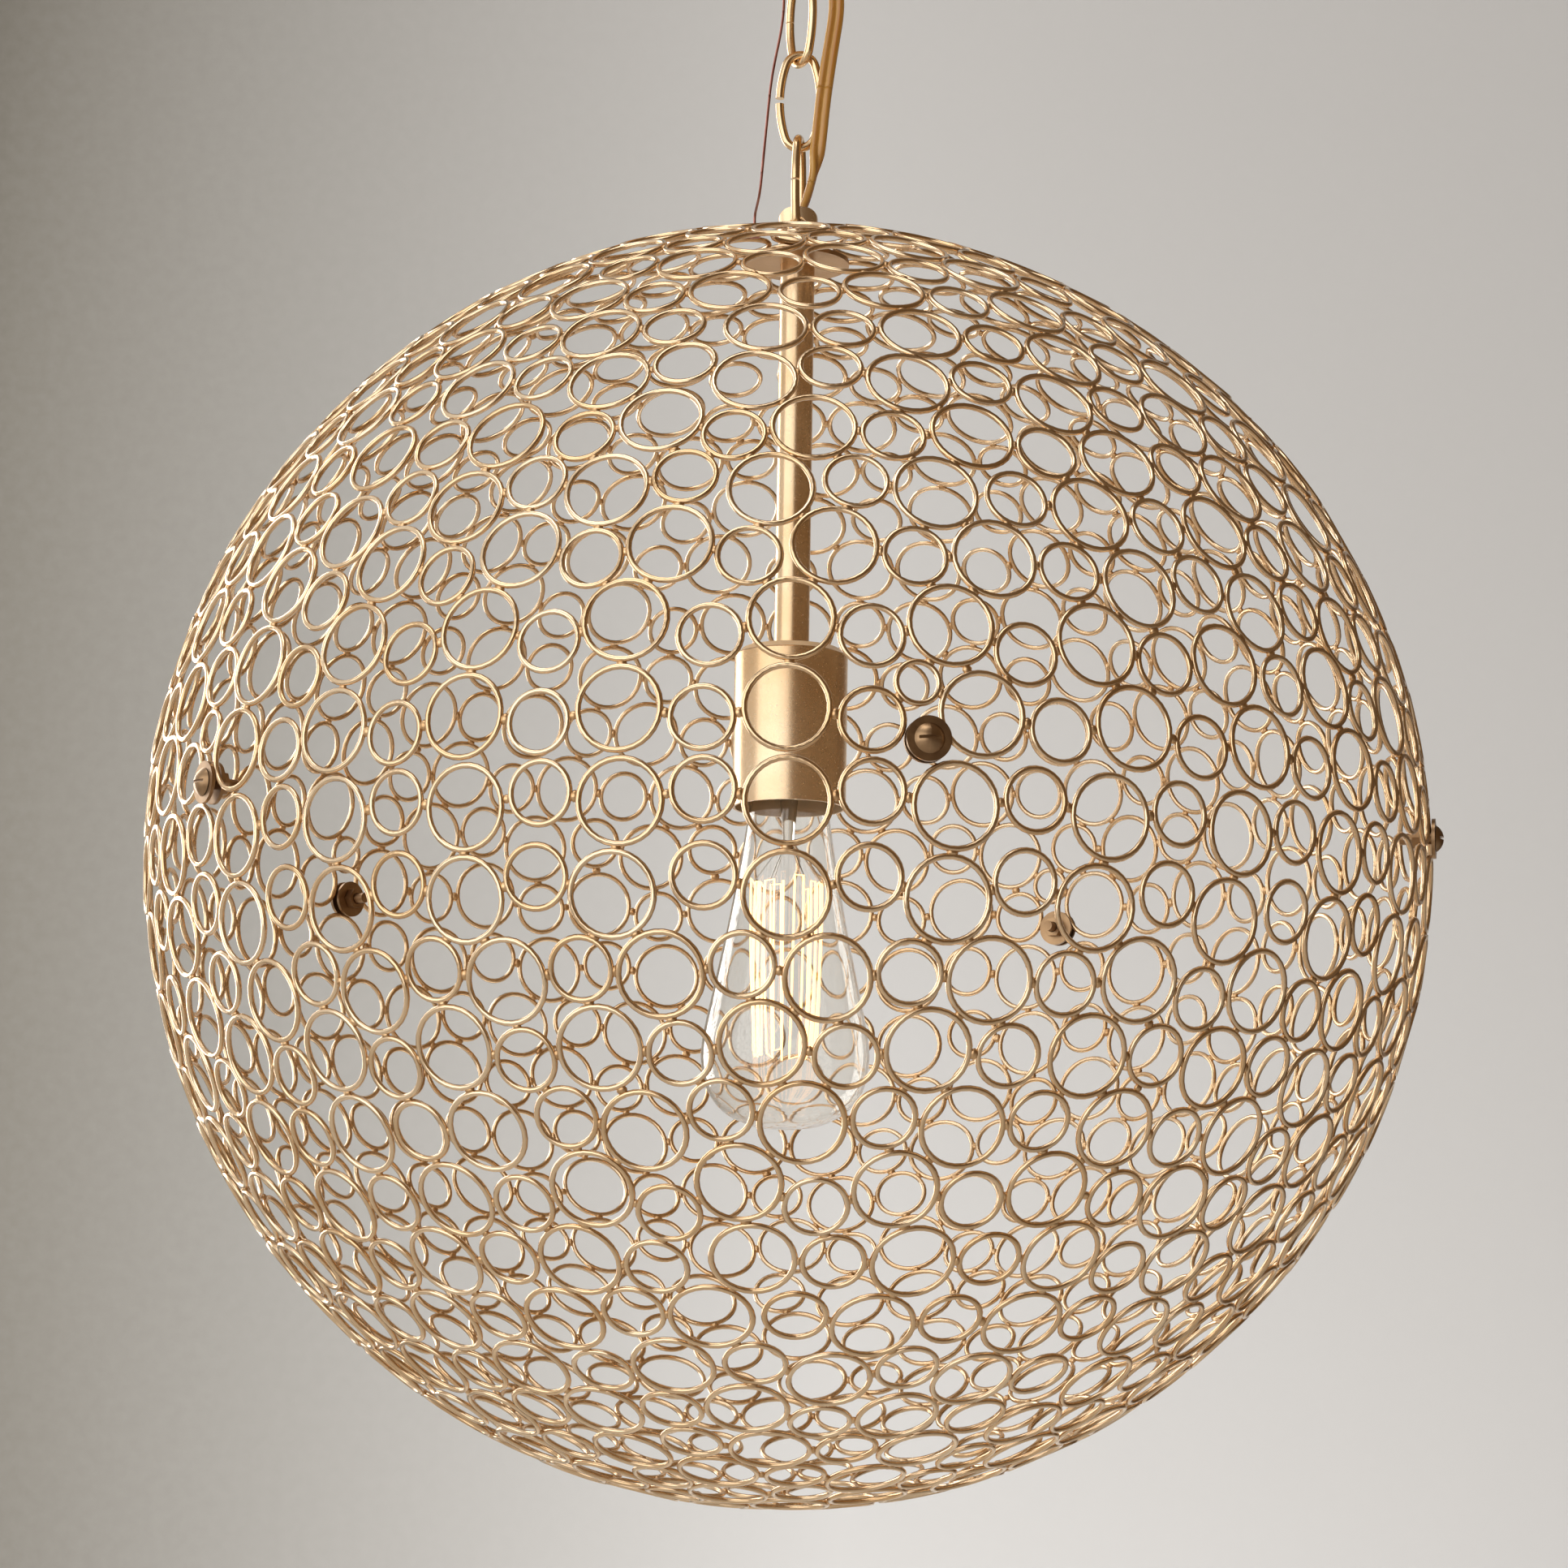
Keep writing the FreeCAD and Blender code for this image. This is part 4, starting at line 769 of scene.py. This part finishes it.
def stretches(points, route, cuts):
    """The line in four stretches, cut nearest to the middle of the run at each cut."""
    marks = [0]
    for cut in cuts:
        middle = (Vector(route[cut - 1]) + Vector(route[cut])) / 2
        marks.append(min(range(len(points)), key=lambda k: (points[k] - middle).length))
    marks.append(len(points) - 1)
    return [points[first:last + 1] for first, last in zip(marks, marks[1:])]


def flat_cord_section(steps=11):
    """The outline of a flat two-core cord as pairs, with the depth of colour at each point."""
    join = math.acos(CORES_APART / 2 / CORE_RADIUS * CORES_MEET)
    section = []
    depth = []
    for centre, middle in ((CORES_APART / 2, 0.0), (-CORES_APART / 2, math.pi)):
        for k in range(steps):
            angle = middle + (k / (steps - 1) * 2 - 1) * (math.pi - join)
            section.append(
                (centre + CORE_RADIUS * math.cos(angle), CORE_RADIUS * math.sin(angle)))
            depth.append(math.sin(angle) ** 2)
    return section, depth


def cord_face(place):
    """The way that the flat cord's width points: across the view, and in line with it lower
    down."""
    share = min(max((FLAT_AT - place[2]) / (FLAT_AT - EDGE_ON_AT), 0), 1)
    angle = math.pi / 2 * share * share * (3 - 2 * share)
    return math.cos(angle), math.sin(angle), 0


def dress_leads():
    """The flat cord, and the bare ground wire that ends at its lug."""
    section, depth = flat_cord_section()
    parts = stretches(spline_points("cord_line", CORD_ROUTE), CORD_ROUTE, CORD_CUTS)
    lay_lead(
        "cord", "flat_cord", parts, CORD_BENDS, section, depth, jacket)
    lug_low, lug_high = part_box("ground_lug")
    lug = (lug_low + lug_high) / 2
    route = GROUND_ROUTE + ((lug.x, lug.y, lug.z + LUG_RISE),)
    section = round_section(COPPER_DIAMETER / 2, COPPER_SIDES)
    parts = stretches(spline_points("ground_line", route), route, GROUND_CUTS)
    lay_lead(
        "ground_wire", "copper_wire", parts, GROUND_BENDS, section, [0.0] * COPPER_SIDES,
        copper)


def lay_lead(node, name, parts, bends, section, depth, material):
    """One lead in four stretches, each a tube that takes the place of its CAD stretch."""
    runs = zip(parts, bends, JOINT_BODIES)
    for number, (points, (start, end), bodies) in enumerate(runs, start=1):
        places, faces = tube(points, section, cord_face if node == "cord" else None)
        piece = mesh_of(f"{name}_{number}", places, faces, material, core=depth * len(points))
        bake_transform(piece)
        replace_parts(piece, f"{node}_{number}")


# ------------------------------------------------------------------ bulb

# The glass below its top: radius, and height from the orb's centre.
GLASS_TOP_RADIUS = 0.0133
GLASS_CORNERS = (
    (0.0139, 0.026), (0.0158, 0.010), (0.0188, -0.008), (0.0226, -0.028), (0.0268, -0.048),
    (0.0297, -0.063), (0.0299, -0.072), (0.0278, -0.081), (0.0222, -0.0885), (0.0138, -0.0930),
    (0.0066, -0.0945), (0.0, -0.0948),
)
GLASS_WALL = 0.0006
GLASS_SIDES = 56

# The filament: its ends from the orb's centre, its wire, and how its strands stand round the
# axis. A bank spans BANK_ARC degrees, and drifts are the most that a strand strays.
FILAMENT_TOP = -0.006
FILAMENT_LOW = -0.068
FILAMENT_WIRE = 0.0008
FILAMENT_SIDES = 6
FILAMENT_REACH = 0.0128
FOOT_SHARE = 0.9
STRANDS = 11
STRAND_STEPS = 10
STRAND_BOW = 0.0007
BANK_ARC = 162
ANGLE_DRIFT = 3
SIDE_DRIFT = 0.0006
END_DRIFT = 0.0012


def revolve(profile, steps):
    """Points and faces of a profile, as pairs of radius and height, turned about Z."""
    points = []
    faces = []
    for radius, height in profile:
        for k in range(steps):
            angle = 2 * math.pi * k / steps
            points.append((radius * math.cos(angle), radius * math.sin(angle), height))
    for i in range(len(profile) - 1):
        here = i * steps
        below = here + steps
        for k in range(steps):
            after = (k + 1) % steps
            faces.append((here + k, here + after, below + after, below + k))
    return points, faces


def smooth_profile(corners, steps):
    """A smooth line through the corners of a profile."""
    corners = [Vector((*corner, 0)) for corner in corners]
    ends = [corners[0] * 2 - corners[1]] + corners + [corners[-1] * 2 - corners[-2]]
    line = []
    for a, b, c, d in zip(ends, ends[1:], ends[2:], ends[3:]):
        for k in range(steps):
            t = k / steps
            line.append(0.5 * ((2 * b) + (c - a) * t + (2 * a - 5 * b + 4 * c - d) * t ** 2
                               + (3 * b - a - 3 * c + d) * t ** 3))
    line.append(corners[-1])
    return [(max(point.x, 0), point.y) for point in line]


def inner_skin(profile, wall):
    """The same profile moved in by the thickness of the glass."""
    line = np.array(profile)
    slopes = np.gradient(line, axis=0)
    slopes[-1] = (-1, 0)
    slopes /= np.linalg.norm(slopes, axis=1)[:, None]
    inner = line + np.stack((slopes[:, 1], -slopes[:, 0]), axis=1) * wall
    return [(max(radius, 0), height) for radius, height in inner]


def dress_bulb():
    """The blown glass and the lit cage of filament."""
    top = (GLASS_TOP_RADIUS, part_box("bulb_glass")[1].z)
    outer = smooth_profile([top] + [(r, ORB_CENTRE.z + h) for r, h in GLASS_CORNERS], 5)
    profile = outer + inner_skin(outer, GLASS_WALL)[::-1]
    points, faces = revolve(profile, GLASS_SIDES)
    last = (len(profile) - 1) * GLASS_SIDES
    for k in range(GLASS_SIDES):
        after = (k + 1) % GLASS_SIDES
        faces.append((last + k, last + after, after, k))
    piece = solid("blown_glass", points, faces, glass)
    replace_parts(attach(piece, "bulb"), "bulb_glass")
    dress_filament()


def solid(name, points, faces, material):
    """An object whose points that meet are merged and whose faces all point outwards."""
    piece = mesh_of(name, points, faces, material)
    work = bmesh.new()
    work.from_mesh(piece.data)
    bmesh.ops.remove_doubles(work, verts=work.verts, dist=1e-6)
    bmesh.ops.dissolve_degenerate(work, edges=work.edges, dist=1e-7)
    bmesh.ops.recalc_face_normals(work, faces=work.faces)
    work.to_mesh(piece.data)
    work.free()
    piece.data.shade_smooth()
    return piece


def dress_filament():
    """Two banks of hot wire, left and right, each one wire that runs down and up in hairpins."""
    chance = random.Random(5)
    places = []
    quads = []
    heat = []
    for bank in (0, math.pi):
        line = []
        for k in range(STRANDS):
            turn = BANK_ARC * (k / (STRANDS - 1) - 0.5)
            angle = bank + math.radians(turn + chance.uniform(-ANGLE_DRIFT, ANGLE_DRIFT))
            outward = Vector((math.cos(angle), math.sin(angle), 0))
            reach = outward * FILAMENT_REACH * chance.uniform(0.93, 1.0)
            drift = chance.uniform(-SIDE_DRIFT, SIDE_DRIFT)
            top, low = (
                ORB_CENTRE.z + height + chance.uniform(-END_DRIFT, END_DRIFT)
                for height in (FILAMENT_TOP, FILAMENT_LOW)
            )
            head = reach + Vector((drift, 0, top))
            foot = reach * FOOT_SHARE + Vector((-drift, 0, low))
            first, last = (head, foot) if k % 2 else (foot, head)
            for step in range(STRAND_STEPS + 1):
                share = step / STRAND_STEPS
                bow = outward * STRAND_BOW * math.sin(math.pi * share)
                line.append((first.lerp(last, share) + bow, 1 - abs(2 * share - 1) ** 6))
        path = [place for place, _ in line]
        points, faces = tube(path, round_section(FILAMENT_WIRE / 2, FILAMENT_SIDES))
        quads.extend(tuple(n + len(places) for n in face) for face in faces)
        places.extend(points)
        heat.extend(value for _, value in line for _ in range(FILAMENT_SIDES))
    piece = mesh_of("hot_filament", places, quads, filament_glow, heat=heat)
    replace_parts(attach(piece, "bulb"), "filament")


# ------------------------------------------------------------------ chain and cap

# A link: its wire, and the length, half width and end radius of its middle line. Each link's
# body, bar height, turn in degrees and the gap of its butt joint.
CHAIN_WIRE = 0.0032
CHAIN_SIDES = 16
LINK_REACH = 0.036
LINK_HALF_WIDTH = 0.0075
LINK_END_RADIUS = 0.0056
CHAIN = (
    ("chain_link_1", "link_1", BAR_ONE, 80.4, 0.0007),
    ("chain_link_2", "link_2", BAR_TWO, 0.0, 0.0022),
    ("chain_link_3", "link_3", BAR_THREE, -56.0, 0.0004),
)


def link_line(gap):
    """The middle line of an oval link in the XZ plane, from one side of its butt joint to the
    other. Its long sides are bowed arcs that meet the round ends without a corner."""
    rise = LINK_REACH / 2 - LINK_END_RADIUS
    bulge = LINK_HALF_WIDTH - LINK_END_RADIUS
    side = (rise ** 2 + LINK_HALF_WIDTH ** 2 - LINK_END_RADIUS ** 2) / (2 * bulge)
    inset = side - LINK_HALF_WIDTH
    lean = math.atan2(rise, inset)
    split = gap / 2 / side

    def along_side(first, last, steps, sign):
        angles = np.linspace(first, last, steps)
        return [(sign * (side * math.cos(a) - inset), 0, side * math.sin(a)) for a in angles]

    def round_end(first, last, steps, sign):
        radius = LINK_END_RADIUS
        angles = np.linspace(first, last, steps)[1:-1]
        return [(radius * math.cos(a), 0, sign * rise + radius * math.sin(a)) for a in angles]

    return (
        along_side(split, lean, 14, -1) + round_end(math.pi - lean, lean, 20, 1)
        + along_side(lean, -lean, 26, 1) + round_end(-lean, lean - math.pi, 20, -1)
        + along_side(-lean, -split, 14, -1)
    )


def dress_chain():
    """The three links, each with its lower end at its bar height."""
    for node, body, bar, turn, gap in CHAIN:
        points, faces = tube(link_line(gap), round_section(CHAIN_WIRE / 2, CHAIN_SIDES))
        rise = Matrix.Translation((0, 0, bar + LINK_REACH / 2))
        place = rise @ Matrix.Rotation(math.radians(turn), 4, "Z")
        points = [place @ Vector(point) for point in points]
        piece = solid(f"{node}_wire", points, faces, gold_chain)
        piece.data.set_sharp_from_angle(angle=math.radians(50))
        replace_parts(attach(piece, body), node)


# The cap: a round plug with a rounded shoulder, cut to CAP_THICK by two cheeks of radius
# CAP_BOW, with the chain's hole CAP_EYE_RISE above its foot.
CAP_RADIUS = 0.00725
CAP_HEIGHT = 0.020
CAP_CORNER = 0.0040
CAP_SIDES = 64
CAP_THICK = 0.0074
CAP_BOW = 0.020
CHEEK_SIDES = 160
CHEEK_PAST = 0.010
CAP_EYE = 0.00345
CAP_EYE_RISE = 0.01255
EYE_SIDES = 40
EYE_HALF_LENGTH = 0.02


def upright_rod(name, radius, low, high, steps):
    """A closed rod that stands on the lamp's axis."""
    points, faces = revolve([(0, high), (radius, high), (radius, low), (0, low)], steps)
    return solid(name, points, faces, gold_satin)


def cut(piece, tool, kind):
    """Apply one boolean to a piece and throw the tool away."""
    step = piece.modifiers.new("cut", "BOOLEAN")
    step.operation = kind
    step.solver = "EXACT"
    step.object = tool
    graph = bpy.context.evaluated_depsgraph_get()
    graph.update()
    mesh = bpy.data.meshes.new_from_object(piece.evaluated_get(graph))
    piece.modifiers.clear()
    piece.data = mesh
    bpy.data.objects.remove(tool)


def dress_cap():
    """The cap on the stem, with the chain's cross hole."""
    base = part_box("loop_cap")[0].z
    top = base + CAP_HEIGHT
    shoulder = []
    for degrees in range(0, 91, 10):
        angle = math.radians(degrees)
        radius = CAP_RADIUS - CAP_CORNER + CAP_CORNER * math.sin(angle)
        shoulder.append((radius, top - CAP_CORNER + CAP_CORNER * math.cos(angle)))
    profile = [(0, top), *shoulder, (CAP_RADIUS, base), (0, base)]
    points, faces = revolve(profile, CAP_SIDES)
    cap = solid("round_cap", points, faces, gold_satin)
    for sign in (-1, 1):
        cheek = upright_rod("cheek", CAP_BOW, base - CHEEK_PAST, top + CHEEK_PAST, CHEEK_SIDES)
        cheek.data.transform(Matrix.Translation((0, sign * (CAP_BOW - CAP_THICK / 2), 0)))
        cut(cap, cheek, "INTERSECT")
    eye = upright_rod("eye", CAP_EYE, -EYE_HALF_LENGTH, EYE_HALF_LENGTH, EYE_SIDES)
    lie_along_y = Matrix.Rotation(math.pi / 2, 4, "X")
    eye.data.transform(Matrix.Translation((0, 0, base + CAP_EYE_RISE)) @ lie_along_y)
    cut(cap, eye, "DIFFERENCE")
    cap.data.shade_smooth()
    cap.data.set_sharp_from_angle(angle=math.radians(40))
    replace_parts(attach(cap, "lamp"), "loop_cap")


# ------------------------------------------------------------------ CAD nodes that keep their shape

CAD_FINISHES = {
    gold_satin: ("canopy", "collar_ring", "stem"),
    gold_cup: ("socket_cup",),
    # The check plate takes the darker gold of painted shade.
    gold_painted_shade: ("check_plate",),
    porcelain: ("lampholder",),
    gold_chain: ("canopy_loop",),
    bronze: ("seam_screws", "outer_washers", "inner_washers", "seam_nuts"),
    brass: ("screw_shell", "centre_contact", "bulb_base", "bulb_tip"),
    copper: ("ground_lug",),
    stem_glass: ("bulb_mount",),
    zinc: (
        "crossbar", "drop_nipple", "drop_locknut", "cap_nipple", "cup_nipple", "cup_locknut",
        "filament_arms",
    ),
}


def finish_cad_nodes():
    """Gives each CAD node that stays in view its finish."""
    for material, nodes in CAD_FINISHES.items():
        for node in nodes:
            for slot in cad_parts[node].material_slots:
                slot.material = material


add_camera()
add_light()
dress_leads()
dress_cage()
dress_bulb()
dress_chain()
dress_cap()
finish_cad_nodes()
add_room()
